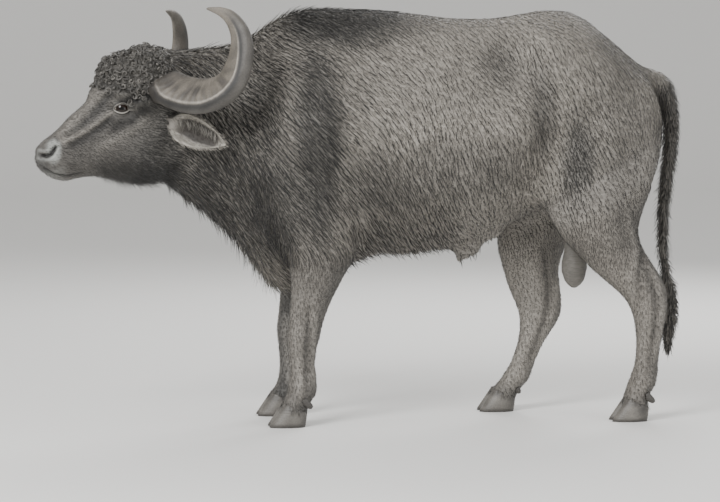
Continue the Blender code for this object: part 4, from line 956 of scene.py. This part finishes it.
corners, weights, patches = sample(skin, np.where(crown > 0.12, 50000.0, 0.0), 31)
root = blend(points, corners, weights)
kept = spaced(root, np.full(len(root), CURL_GAP), 31)
kept = kept[blend(crown, corners, weights)[kept] > np.random.default_rng(33).uniform(0.1, 0.7, len(kept))]
root, patches = root[kept], patches[kept]
normal = unit(blend(normals, corners, weights)[kept])
draw = np.random.default_rng(32)
count = len(root)
tilted = unit(normal + 0.30 * draw.normal(size=(count, 3)))
first = unit(np.cross(tilted, draw.normal(size=(count, 3))))
second = np.cross(tilted, first)
spin = draw.choice((-1, 1), count)
radius = CURL_RADIUS * draw.uniform(0.8, 1.2, count)
tall = draw.uniform(*CURL_TALL, count)
curl_shade = draw.uniform(0.65, 1.35, count)
at = np.linspace(0, 1, 10)
strands, tones, spots, ups = [], [], [], []
for k in range(CURL_STRANDS):
    turns = CURL_TURNS * draw.uniform(0.7, 1.3, count)[:, None]
    start = 0.30 * k + draw.uniform(-0.25, 0.25, count)[:, None]
    angle = spin[:, None] * (2 * math.pi * turns * at + start)
    wave = 1 + 0.08 * np.sin(7 * at + draw.uniform(0, 6.28, count)[:, None])
    reach = radius * (1.08 - 0.095 * k) * draw.uniform(0.90, 1.10, count)
    reach = reach[:, None] * (1 - 0.78 * at) * wave
    rise = -0.003 + (tall * draw.uniform(0.75, 1.2, count))[:, None] * (1 - np.exp(-3.5 * at)) - 0.0006 * k
    path = root[:, None] + first[:, None] * (np.cos(angle) * reach)[..., None]
    path = path + second[:, None] * (np.sin(angle) * reach)[..., None] + normal[:, None] * rise[..., None]
    strands.append(path)
    spots.append(patches)
    shade = curl_shade * draw.uniform(0.6, 1.4, count) * (0.60 + 0.12 * k)
    tones.append(np.array(CURL_GREY) * shade[:, None])
    ups.append(np.broadcast_to(normal[:, None], path.shape))
paths = np.concatenate(strands)
ups = np.concatenate(ups)
taper = np.interp(at, (0, 0.15, 0.7, 1.0), (0.8, 1.0, 0.8, 0.0))
widths = np.broadcast_to(STRAND_WIDTH * taper, paths.shape[:2])
ahead = np.gradient(paths, axis=1)
strand_mesh("crown_curls", paths, np.cross(ups, ahead), widths, widths * 0.9, np.concatenate(tones),
            np.concatenate(spots))


# Tail switch
# Long coarse hairs that hang in a slim tuft round the last third of the tail, widest above its middle.
SWITCH_GREY = linear("#4a4845")
SWITCH_WIDTH = (  # height above the ground, and the tuft's half width there
    (0.200, 0.003), (0.245, 0.014), (0.300, 0.022), (0.370, 0.027), (0.430, 0.021), (0.500, 0.011),
)
SWITCH_HAIRS = 260
SWITCH_END = 0.206
tail_points = np.array([v.co for v in nodes["tail"].data.vertices])
levels = np.linspace(0.215, 0.66, 12)
centres = np.array([tail_points[np.abs(tail_points[:, 2] - level) < 0.03].mean(axis=0) for level in levels])
draw = np.random.default_rng(41)
count = SWITCH_HAIRS
start = draw.uniform(0.27, 0.53, count)
reach = np.minimum(draw.uniform(0.09, 0.17, count), start - SWITCH_END)
at = np.linspace(0, 1, 8)
level = start[:, None] - reach[:, None] * at
middle_line = np.stack([np.interp(level, levels, centres[:, k]) for k in range(3)], -1)
middle_line[..., 2] = level
around = draw.uniform(0, 2 * math.pi, count)
share_out = draw.uniform(0.45, 1.08, count)[:, None] * (0.25 + 0.75 * at**0.6)
share_out = share_out * np.interp(level, *zip(*SWITCH_WIDTH))
sway = 0.004 * np.sin(at * 5.0 + draw.uniform(0, 6.28, count)[:, None])
outward = np.stack([np.cos(around), np.sin(around), np.zeros(count)], -1)
beside = np.stack([-np.sin(around), np.cos(around), np.zeros(count)], -1)
paths = middle_line + outward[:, None] * share_out[..., None] + beside[:, None] * sway[..., None]
widths = np.broadcast_to(0.0052 * np.interp(at, (0, 0.2, 0.7, 1.0), (0.6, 1.0, 0.8, 0.0)), level.shape)
tones = np.array(SWITCH_GREY) * draw.uniform(0.45, 1.5, count)[:, None]
spots = np.tile(skin_spot(skin, "tail"), (count, 1)) + draw.uniform(-0.004, 0.004, (count, 2))
sides = np.broadcast_to(beside[:, None], paths.shape)
strand_mesh("tail_switch", paths, sides, widths, widths * 0.5, tones, spots)


# Ears
# Broad leaf-shaped cups of gristle under thin hide, held out low behind the horns: pale rims, dark inside,
# with long hairs from the upper rim across the opening.
EAR_VOXEL = 0.0023
EAR_OUTER = linear("#4d4a46")
EAR_RIM = linear("#a9a49b")
EAR_INNER = linear("#3b3733")
EAR_WIDTH = ((-0.1, 0.060), (0.15, 0.078), (0.45, 0.100), (0.75, 0.075), (1.0, 0.010))  # from root to tip


def surface_of(*names):
    """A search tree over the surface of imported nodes."""
    points, faces = [], []
    for name in names:
        start = len(points)
        points += [v.co.copy() for v in nodes[name].data.vertices]
        faces += [[start + i for i in p.vertices] for p in nodes[name].data.polygons]
    return BVHTree.FromPolygons(points, faces)


def distance_to(points, tree):
    return np.array([tree.find_nearest(Vector(p))[3] for p in points])


def fine_copy(name, node, voxel, rounds):
    """A finer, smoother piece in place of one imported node."""
    obj = copy_of_nodes(name, (node,))
    modifier = obj.modifiers.new("rounded", "SUBSURF")
    modifier.levels = modifier.render_levels = 2
    remesh_with = obj.modifiers.new("even", "REMESH")
    remesh_with.mode = "VOXEL"
    remesh_with.voxel_size = voxel
    finished = bpy.data.meshes.new_from_object(obj.evaluated_get(bpy.context.evaluated_depsgraph_get()))
    obj.modifiers.clear()
    old = obj.data
    obj.data = finished
    bpy.data.meshes.remove(old)
    set_points(obj, relax(points_of(obj), edges_of(obj), rounds, 0.7))
    obj.data.polygons.foreach_set("use_smooth", [True] * len(obj.data.polygons))
    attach(obj, "root")
    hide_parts(node)
    return obj


def unwrap(obj):
    """The unwrap of a piece's own shape."""
    bpy.ops.object.select_all(action="DESELECT")
    bpy.context.view_layer.objects.active = obj
    obj.select_set(True)
    bpy.ops.object.mode_set(mode="EDIT")
    bpy.ops.mesh.select_all(action="SELECT")
    bpy.ops.uv.smart_project(angle_limit=math.radians(66), island_margin=0.002)
    bpy.ops.object.mode_set(mode="OBJECT")
    obj.data.uv_layers[0].name = "OFBake"


ear_hide, shader = new_material("thin_ear_hide")
attribute = add(ear_hide, "ShaderNodeAttribute", {"attribute_name": "tone"})
place_node = add(ear_hide, "ShaderNodeTexCoord")
grain = add(ear_hide, "ShaderNodeTexNoise", {"Scale": 320.0, "Detail": 3.0},
            {"Vector": place_node.outputs["Object"]})
bump = add(ear_hide, "ShaderNodeBump", {"Strength": 0.35, "Distance": 0.001},
           {"Height": grain.outputs["Fac"]})
link(ear_hide, attribute.outputs["Color"], shader.inputs["Base Color"])
link(ear_hide, bump.outputs["Normal"], shader.inputs["Normal"])
shader.inputs["Roughness"].default_value = 0.6
shader.inputs["IOR"].default_value = 1.45

head_surface = surface_of("head")
skull = np.array(from_head(0.02, 0.0, 0.05))
for side_name, side in (("left", -1), ("right", 1)):
    ear = fine_copy(f"ear_{side_name}_fine", f"ear_{side_name}", EAR_VOXEL, 4)
    points = points_of(ear)
    away = distance_to(points, head_surface)
    root = points[away < 0.012].mean(axis=0)
    tip = points[np.argmax(np.linalg.norm(points - root, axis=1))]
    along_ear = (tip - root) / np.linalg.norm(tip - root)
    reach = np.linalg.norm(tip - root)
    opens = np.array(head_level * 0.25 + head_across * (side * 0.9) + Vector((0, 0, -0.3)))
    opens = unit(opens - along_ear * (opens @ along_ear))
    over = np.cross(along_ear, opens)
    if over[2] < 0:
        over = -over
    t = (points - root) @ along_ear / reach
    stalk = 0.35 + 0.43 * step(t, -0.10, 0.08) + 0.22 * step(t, 0.0, 0.20)
    on_axis = root + along_ear * ((points - root) @ along_ear)[:, None]
    points = on_axis + (points - on_axis) * stalk[:, None]
    # The cup is filled near its root, where a real ear is a closed stalk.
    outward = (points - root) @ opens
    steps = np.linspace(-0.1, 0.4, 11)
    highest = [outward[np.abs(t - k) < 0.05].max() for k in steps]
    brim = np.interp(t, steps, highest) - 0.003
    filled = (1 - step(t, 0.06, 0.30)) * step(normals_of(ear) @ opens, -0.3, 0.2)
    points = points + opens * (filled * np.maximum(brim - outward, 0))[:, None]
    corners = step(np.abs((points - root) @ over), 0.010, 0.028)
    tuck = ((1 - step(away, 0.002, 0.034)) * (0.021 + 0.014 * corners))[:, None]
    points = points + tuck * unit(skull - points)
    points = relax(points, edges_of(ear), 6, 1 - step(t, 0.20, 0.40))
    set_points(ear, points)
    half = 0.5 * np.interp(t, *zip(*EAR_WIDTH))
    middle_up = np.zeros(len(points))
    for low in np.linspace(-0.1, 1.0, 23):
        band = np.abs(t - low) < 0.05
        if band.any():
            middle_up[band] = ((points[band] - root) @ over).mean()
    v = ((points - root) @ over - middle_up) / half
    normals = normals_of(ear)
    inside = step(normals @ opens, -0.1, 0.3)
    rim = step(np.abs(v), 0.62, 0.92) + step(t, 0.80, 0.95) + 0.55 * (1 - step(t, 0.08, 0.26))
    rim = np.clip(rim, 0, 1)
    ear_tone = mix(np.tile(np.array(EAR_OUTER), (len(points), 1)), EAR_INNER, inside * (1 - rim))
    ear_tone = mix(ear_tone, EAR_RIM, rim * (0.45 + 0.55 * inside))
    ear_tone = mix(ear_tone, EAR_OUTER, 0.85 * (1 - step(t, -0.02, 0.14)))
    paint(ear, ear_tone)
    ear.data.materials.append(ear_hide)
    unwrap(ear)
    lie = along_ear + 0.35 * np.sign(v)[:, None] * over * rim[:, None]
    lie = lie + inside[:, None] * (1 - rim[:, None]) * (-0.9 * over)
    lie = unit(lie - normals * (lie * normals).sum(axis=1, keepdims=True))
    clear = step(away, 0.004, 0.02)
    within = inside * (1 - rim)

    def ear_part(root, corners, weights):
        return {f"ear_hair_{side_name}": np.ones(len(root), bool)}

    grow(ear, ear_part, lie, 46000 * clear * (1 - 0.6 * within), ear_tone, 51 + side,
         0.011 + 0.006 * rim, 0.0021, 0.0015 + 0.002 * rim, 0.004 * rim, spread=0.22)

    def inner_part(root, corners, weights):
        return {f"ear_long_hair_{side_name}": np.ones(len(root), bool)}

    upper = inside * step(v, 0.25, 0.55) * (1 - step(v, 0.75, 0.95))
    upper = upper * step(t, 0.05, 0.2) * (1 - step(t, 0.70, 0.88))
    hang = unit(-over + 0.35 * along_ear + 0.25 * opens)
    hang = np.tile(hang, (len(points), 1))
    hang = unit(hang - normals * (hang * normals).sum(axis=1, keepdims=True))
    hair_tone = np.tile(np.array(CURL_GREY), (len(points), 1))
    grow(ear, inner_part, hang, 30000 * upper, hair_tone, 61 + side, 0.034, 0.0026, 0.004, 0.010,
         spread=0.25, form="long", shades=(0.5, 2.6))


# Eyes
# Wet balls with a wide dark brown iris, a level pupil and a little white at the corners.
IRIS_BROWN = linear("#1a110b")
WHITE_OF_EYE = linear("#857e75")
PUPIL_BLACK = (0.002, 0.002, 0.002)
IRIS_ANGLE = 0.76  # half angle of the iris, in radians
PUPIL_WIDE, PUPIL_HIGH = 0.36, 0.17  # half sizes of the pupil, as shares of the ball's radius
wet_eye, shader = new_material("wet_eyeball")
attribute = add(wet_eye, "ShaderNodeAttribute", {"attribute_name": "tone"})
link(wet_eye, attribute.outputs["Color"], shader.inputs["Base Color"])
shader.inputs["Roughness"].default_value = 0.06
shader.inputs["IOR"].default_value = 1.376
for side_name, side in (("left", -1), ("right", 1)):
    centre, look, ahead, above = eye_axes(side)
    bm = bmesh.new()
    bmesh.ops.create_icosphere(bm, subdivisions=5, radius=EYE_RADIUS - 0.0004)
    bmesh.ops.translate(bm, vec=centre, verts=bm.verts)
    mesh = bpy.data.meshes.new(f"eyeball_{side_name}")
    bm.to_mesh(mesh)
    bm.free()
    eye = bpy.data.objects.new(f"eyeball_{side_name}", mesh)
    scene.collection.objects.link(eye)
    away = unit(points_of(eye) - np.array(centre))
    angle = np.arccos(np.clip(away @ np.array(look), -1, 1))
    pupil = np.hypot(away @ np.array(ahead) / PUPIL_WIDE, away @ np.array(above) / PUPIL_HIGH)
    eye_tone = np.tile(np.array(WHITE_OF_EYE), (len(away), 1))
    dark_edge = 1 - step(angle, IRIS_ANGLE + 0.02, IRIS_ANGLE + 0.10)
    eye_tone = mix(eye_tone, np.array(IRIS_BROWN) * 0.35, dark_edge)
    eye_tone = mix(eye_tone, IRIS_BROWN, 1 - step(angle, IRIS_ANGLE - 0.12, IRIS_ANGLE))
    eye_tone = mix(eye_tone, PUPIL_BLACK, 1 - step(pupil, 0.9, 1.1))
    paint(eye, eye_tone)
    mesh.polygons.foreach_set("use_smooth", [True] * len(mesh.polygons))
    mesh.materials.append(wet_eye)
    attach(eye, "root")
    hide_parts(f"eye_{side_name}")

# Lashes: short stiff hairs from the upper lid's edge, outward and a little down.
strands, sides, spots = [], [], []
draw = np.random.default_rng(61)
for side in (-1, 1):
    centre, look, ahead, above = eye_axes(side)
    for wide in np.linspace(-0.86, 0.86, 34):
        high = EYE_UPPER * (1 - wide * wide) * 1.04
        a = wide * EYE_WIDE
        level_way = look * math.cos(a) + ahead * math.sin(a)
        foot_way = level_way * math.cos(high) + above * math.sin(high)
        foot = centre + foot_way * (EYE_RADIUS + 0.0022)
        reach = draw.uniform(0.008, 0.012)
        out = (foot_way * 1.0 + above * -0.15 + ahead * draw.uniform(-0.25, 0.25)).normalized()
        strands.append([foot + out * (reach * s) + above * (0.35 * reach * s * s)
                        for s in (0, 0.35, 0.7, 1.0)])
        sides.append([ahead] * 4)
        spots.append(skin_spot(skin, "head"))
paths, sides = np.array(strands, float), np.array(sides, float)
widths = np.broadcast_to(np.array((0.0010, 0.0009, 0.0006, 0.0)), paths.shape[:2])
tones = np.tile(np.array(HAIR_DARK), (len(paths), 1))
strand_mesh("lashes", paths, sides, widths, widths, tones, np.array(spots))


# Horns
# Hollow sheaths of keratin on bony cores: a flat pale upper face with dark cross ridges, a painted highlight
# along the keel, a band of painted shade below it, and painted shade over the lower face. The tips are slim
# and smooth.
HORN_VOXEL = 0.0031
HORN_PALE = linear("#615b52")
HORN_MOTTLE = linear("#3a3632")
HORN_HIGHLIGHT_AND_TIP_GREY = linear("#99938a")
HORN_SHADE_BAND = linear("#262524")
HORN_LOWER_SHADE = linear("#4d4a46")
KEEL_AT = (  # from root to tip, and how far out across the horn the keel runs
    (0.0, 0.62), (0.12, 0.70), (0.35, 0.74), (0.55, 0.66), (0.70, 0.52), (0.85, 0.45), (1.0, 0.45),
)
RIDGE_STEP = 0.036  # as a share of the horn's length, and so are the blotches
BLOTCH_STEP = 0.072
RIDGE_HEIGHT = 0.0009
KEEL_HEIGHT = 0.0028


def keratin(name, grain_scale, detail, rough_detail, shades, roughness):
    """Horn: the painted tones, made uneven by a fine grain that also roughens the surface."""
    mat, shader = new_material(name)
    attribute = add(mat, "ShaderNodeAttribute", {"attribute_name": "tone"})
    place_node = add(mat, "ShaderNodeTexCoord")
    grain = add(mat, "ShaderNodeTexNoise",
                {"Scale": grain_scale, "Detail": detail, "Roughness": rough_detail},
                {"Vector": place_node.outputs["Object"]})
    uneven = add(mat, "ShaderNodeMapRange",
                 {"From Min": 0.3, "From Max": 0.7, "To Min": shades[0], "To Max": shades[1]},
                 {"Value": grain.outputs["Fac"]})
    coloured = add(mat, "ShaderNodeVectorMath", {"operation": "SCALE"},
                   {"Vector": attribute.outputs["Color"], "Scale": uneven.outputs["Result"]})
    bump = add(mat, "ShaderNodeBump", {"Strength": 0.4, "Distance": 0.001}, {"Height": grain.outputs["Fac"]})
    link(mat, coloured.outputs["Vector"], shader.inputs["Base Color"])
    link(mat, bump.outputs["Normal"], shader.inputs["Normal"])
    shader.inputs["Roughness"].default_value = roughness
    shader.inputs["IOR"].default_value = 1.55
    return mat


horn_sheath = keratin("keratin_horn", 160.0, 5.0, 0.6, (0.78, 1.18), 0.60)
for side_name, side in (("left", -1), ("right", 1)):
    horn = fine_copy(f"horn_{side_name}_fine", f"horn_{side_name}", HORN_VOXEL, 6)
    points = points_of(horn)
    away = distance_to(points, head_surface)
    # The crescent's plane and middle, and how far each point is round it from root to tip.
    centre = points.mean(axis=0)
    _, axes = np.linalg.eigh(np.cov((points - centre).T))
    flat = np.stack([(points - centre) @ axes[:, 2], (points - centre) @ axes[:, 1]], 1)
    ones = np.column_stack([2 * flat, np.ones(len(flat))])
    a, b, _ = np.linalg.lstsq(ones, (flat**2).sum(axis=1), rcond=None)[0]
    arm = flat - (a, b)
    angle = np.arctan2(arm[:, 1], arm[:, 0])
    cuts = np.histogram(angle, 90, (-math.pi, math.pi))[0] == 0
    gap = (np.arange(90)[cuts].astype(float) + 0.5) / 90 * 2 * math.pi - math.pi
    open_at = math.atan2(np.sin(gap).mean(), np.cos(gap).mean())
    angle = (angle - open_at) % (2 * math.pi)
    root_angle = angle[away < 0.01].mean()
    if root_angle > math.pi:
        angle = 2 * math.pi - angle
    t = (angle - angle.min()) / (angle.max() - angle.min())
    ring = np.linalg.norm(arm, axis=1)
    steps = np.linspace(0, 1, 41)
    inner = np.interp(t, steps, [ring[np.abs(t - k) < 0.02].min() for k in steps])
    outer = np.interp(t, steps, [ring[np.abs(t - k) < 0.02].max() for k in steps])
    share_out = (ring - inner) / (outer - inner)
    normals = normals_of(horn)
    facing = normals @ axes[:, 0] * (1 if np.array(head_across) @ axes[:, 0] * side > 0 else -1)
    keel_at = np.interp(t, *zip(*KEEL_AT))
    wander = 0.012 * ripple(points, 0.10, 72)
    ridge_wave = np.sin(2 * math.pi * (t + wander) / RIDGE_STEP)
    blotch_wave = np.sin(2 * math.pi * (t + 1.4 * wander) / BLOTCH_STEP)
    upper_face = step(facing, -0.1, 0.5) * (share_out < keel_at + 0.05)
    ridged = (1 - step(t, 0.42, 0.66)) * (0.35 + 0.65 * upper_face)
    points = points + normals * (RIDGE_HEIGHT * ridge_wave * ridged)[:, None]
    keel = np.exp(-(((share_out - keel_at) / 0.030) ** 2)) * step(facing, -0.2, 0.3)
    keel = keel * (1 - step(t, 0.65, 0.85))
    points = points + normals * (KEEL_HEIGHT * keel)[:, None]
    mottle = step(0.7 * blotch_wave + 0.8 * ripple(points, 0.07, 73), -0.7, 1.2) * (1 - step(t, 0.55, 0.85))
    mottle *= np.exp(-(((share_out - 0.45) / 0.25) ** 2))
    horn_tone = mix(np.tile(np.array(HORN_PALE), (len(points), 1)), HORN_MOTTLE, 0.90 * mottle)
    # Painted shade over the lower face beyond the keel, deepest in a band just below it.
    below = step(share_out - keel_at, 0.015, 0.05) * (1 - step(t, 0.78, 0.95))
    horn_tone = mix(horn_tone, HORN_LOWER_SHADE, below)
    band = np.exp(-(((share_out - keel_at - 0.12) / 0.085) ** 2)) * below
    horn_tone = mix(horn_tone, HORN_SHADE_BAND, 0.95 * band)
    inner_edge = (1 - step(share_out, 0.02, 0.22)) * (1 - step(t, 0.3, 0.5))
    horn_tone = mix(horn_tone, HORN_MOTTLE, 0.5 * inner_edge)
    # Painted shade on the faces that turn away from the flat upper face.
    horn_tone = mix(horn_tone, HORN_LOWER_SHADE, 0.6 * (1 - step(facing, -0.3, 0.1)))
    # Painted highlight along the keel, and the tips paler in the same grey.
    horn_tone = mix(horn_tone, HORN_HIGHLIGHT_AND_TIP_GREY, 0.9 * keel)
    horn_tone = mix(horn_tone, HORN_HIGHLIGHT_AND_TIP_GREY, 0.25 * step(t, 0.78, 0.97))
    horn_tone = mix(horn_tone, HORN_MOTTLE, 0.75 * (1 - step(t, 0.05, 0.17)))
    horn_tone = horn_tone * (1 + 0.16 * ripple(points, 0.05, 74))[:, None]
    tuck = (1 - step(away, 0.002, 0.030))[:, None]
    points = points + tuck * 0.026 * unit(skull - points)
    set_points(horn, points)
    paint(horn, horn_tone)
    horn.data.materials.append(horn_sheath)


# Hooves and dewclaws
# Two cloven claws and two small dewclaws on each foot, of dull grey horn with faint level rings.
HOOF_GREY = linear("#7a766f")
HOOF_DARK = linear("#373431")
RING_STEP, RING_HEIGHT = 0.0075, 0.0005
hoof_horn = keratin("dull_hoof_horn", 210.0, 4.0, 0.5, (0.8, 1.2), 0.5)
for leg in ("front_left", "front_right", "hind_left", "hind_right"):
    for claw_side in ("outer", "inner"):
        for kind, voxel in (("claw", 0.0028), ("dewclaw", 0.0020)):
            node = f"{kind}_{leg}_{claw_side}"
            hoof = fine_copy(f"{node}_fine", node, voxel, 3)
            points = points_of(hoof)
            normals = normals_of(hoof)
            low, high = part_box(node)
            wall = 1 - step(np.abs(normals[:, 2]), 0.7, 0.95)
            rings = np.sin(points[:, 2] / RING_STEP * 2 * math.pi + 2.0 * ripple(points, 0.08, 81))
            points = points + normals * (RING_HEIGHT * rings * wall)[:, None]
            if kind == "claw":
                sole = (points[:, 2] < 0.0035) & (normals[:, 2] < -0.25)
                points[:, 2] = np.where(sole, 0.0, np.maximum(points[:, 2], 0.0))
            top = step(points[:, 2], high[2] - 0.014, high[2])
            points[:, 2] += 0.004 * top
            set_points(hoof, points)
            back_share = (points[:, 0] - low[0]) / (high[0] - low[0])
            # Painted shade towards the heel, so the front of the wall stands paler, along the bottom edge
            # and at the top under the hem of hair; the rest is the horn's own uneven grey, and the dewclaws
            # are darker horn.
            hoof_tone = mix(np.tile(np.array(HOOF_GREY), (len(points), 1)), HOOF_DARK,
                            0.30 + 0.18 * ripple(points, 0.05, 82) + 0.45 * step(back_share, 0.35, 0.9))
            hoof_tone = mix(hoof_tone, HOOF_DARK, 0.85 * (1 - step(points[:, 2], 0.003, 0.018)))
            hoof_tone = mix(hoof_tone, HOOF_DARK, 0.55 * step(points[:, 2], 0.045, 0.065))
            if kind == "dewclaw":
                hoof_tone = mix(hoof_tone, HOOF_DARK, np.full(len(points), 0.75))
            paint(hoof, hoof_tone)
            hoof.data.materials.append(hoof_horn)


# Room
# A plain pale floor that curves up into a far wall, wide enough for a camera on any side, and soft studio
# lights. None of them are part of the animal.
FLOOR = linear("#ebeae7")
FLOOR_FRONT, FLOOR_BACK, FLOOR_SIDE = -20.0, 17.0, 45.0
WALL_CURVE, WALL_TOP = 6.0, 30.0
floor_finish, shader = new_material("matt_studio_floor")
shader.inputs["Base Color"].default_value = (*FLOOR, 1)
shader.inputs["Roughness"].default_value = 0.9
bm = bmesh.new()
profile = [(FLOOR_FRONT, 0.0), (FLOOR_BACK, 0.0)]
profile += [(FLOOR_BACK + WALL_CURVE * math.sin(a), WALL_CURVE * (1 - math.cos(a)))
            for a in np.linspace(0.10, math.pi / 2, 18)]
profile.append((FLOOR_BACK + WALL_CURVE, WALL_TOP))
line = [bm.verts.new((-FLOOR_SIDE, y, z)) for y, z in profile]
edges = [bm.edges.new(pair) for pair in zip(line, line[1:])]
bmesh.ops.extrude_edge_only(bm, edges=edges)
bm.verts.ensure_lookup_table()
for vert in bm.verts[len(profile):]:
    vert.co.x = FLOOR_SIDE
bmesh.ops.recalc_face_normals(bm, faces=bm.faces)
mesh = bpy.data.meshes.new("floor")
bm.to_mesh(mesh)
bm.free()
mesh.polygons.foreach_set("use_smooth", [True] * len(mesh.polygons))
floor = bpy.data.objects.new("floor", mesh)
scene.collection.objects.link(floor)
mesh.materials.append(floor_finish)

for name, place_of_light, target, watts, size in (
    ("key_light", (-3.6, -4.6, 4.6), (0.0, 0.0, 0.8), 440, 2.6),
    ("fill_light", (4.2, -5.0, 1.4), (0.1, 0.0, 0.6), 120, 4.0),
    ("rim_light", (2.5, 4.5, 4.2), (0.2, 0.0, 0.9), 220, 3.0),
):
    lamp = bpy.data.lights.new(name, "AREA")
    lamp.energy = watts
    lamp.size = size
    light = bpy.data.objects.new(name, lamp)
    light.location = place_of_light
    light.rotation_euler = (Vector(target) - Vector(place_of_light)).to_track_quat("-Z", "Y").to_euler()
    scene.collection.objects.link(light)

world = bpy.data.worlds.new("pale_room")
world.use_nodes = True
world.node_tree.nodes["Background"].inputs["Color"].default_value = (0.92, 0.92, 0.92, 1)
world.node_tree.nodes["Background"].inputs["Strength"].default_value = 0.80
scene.world = world

# Camera at the picture's viewing angle: from the left, a little ahead and above.
VIEW_AZIMUTH, VIEW_HEIGHT, VIEW_DISTANCE = math.radians(-8), math.radians(4), 9.5
AIM = Vector((-0.0057, 0.0061, 0.5915))
back = Vector((math.sin(VIEW_AZIMUTH), -math.cos(VIEW_AZIMUTH), math.tan(VIEW_HEIGHT)))
back.normalize()
lens = bpy.data.cameras.new("camera")
lens.sensor_width = 36.0
lens.lens = 36.0 * VIEW_DISTANCE / 2.52
camera = bpy.data.objects.new("camera", lens)
camera.location = AIM + back * VIEW_DISTANCE
camera.rotation_euler = (-back).to_track_quat("-Z", "Y").to_euler()
scene.collection.objects.link(camera)
scene.camera = camera
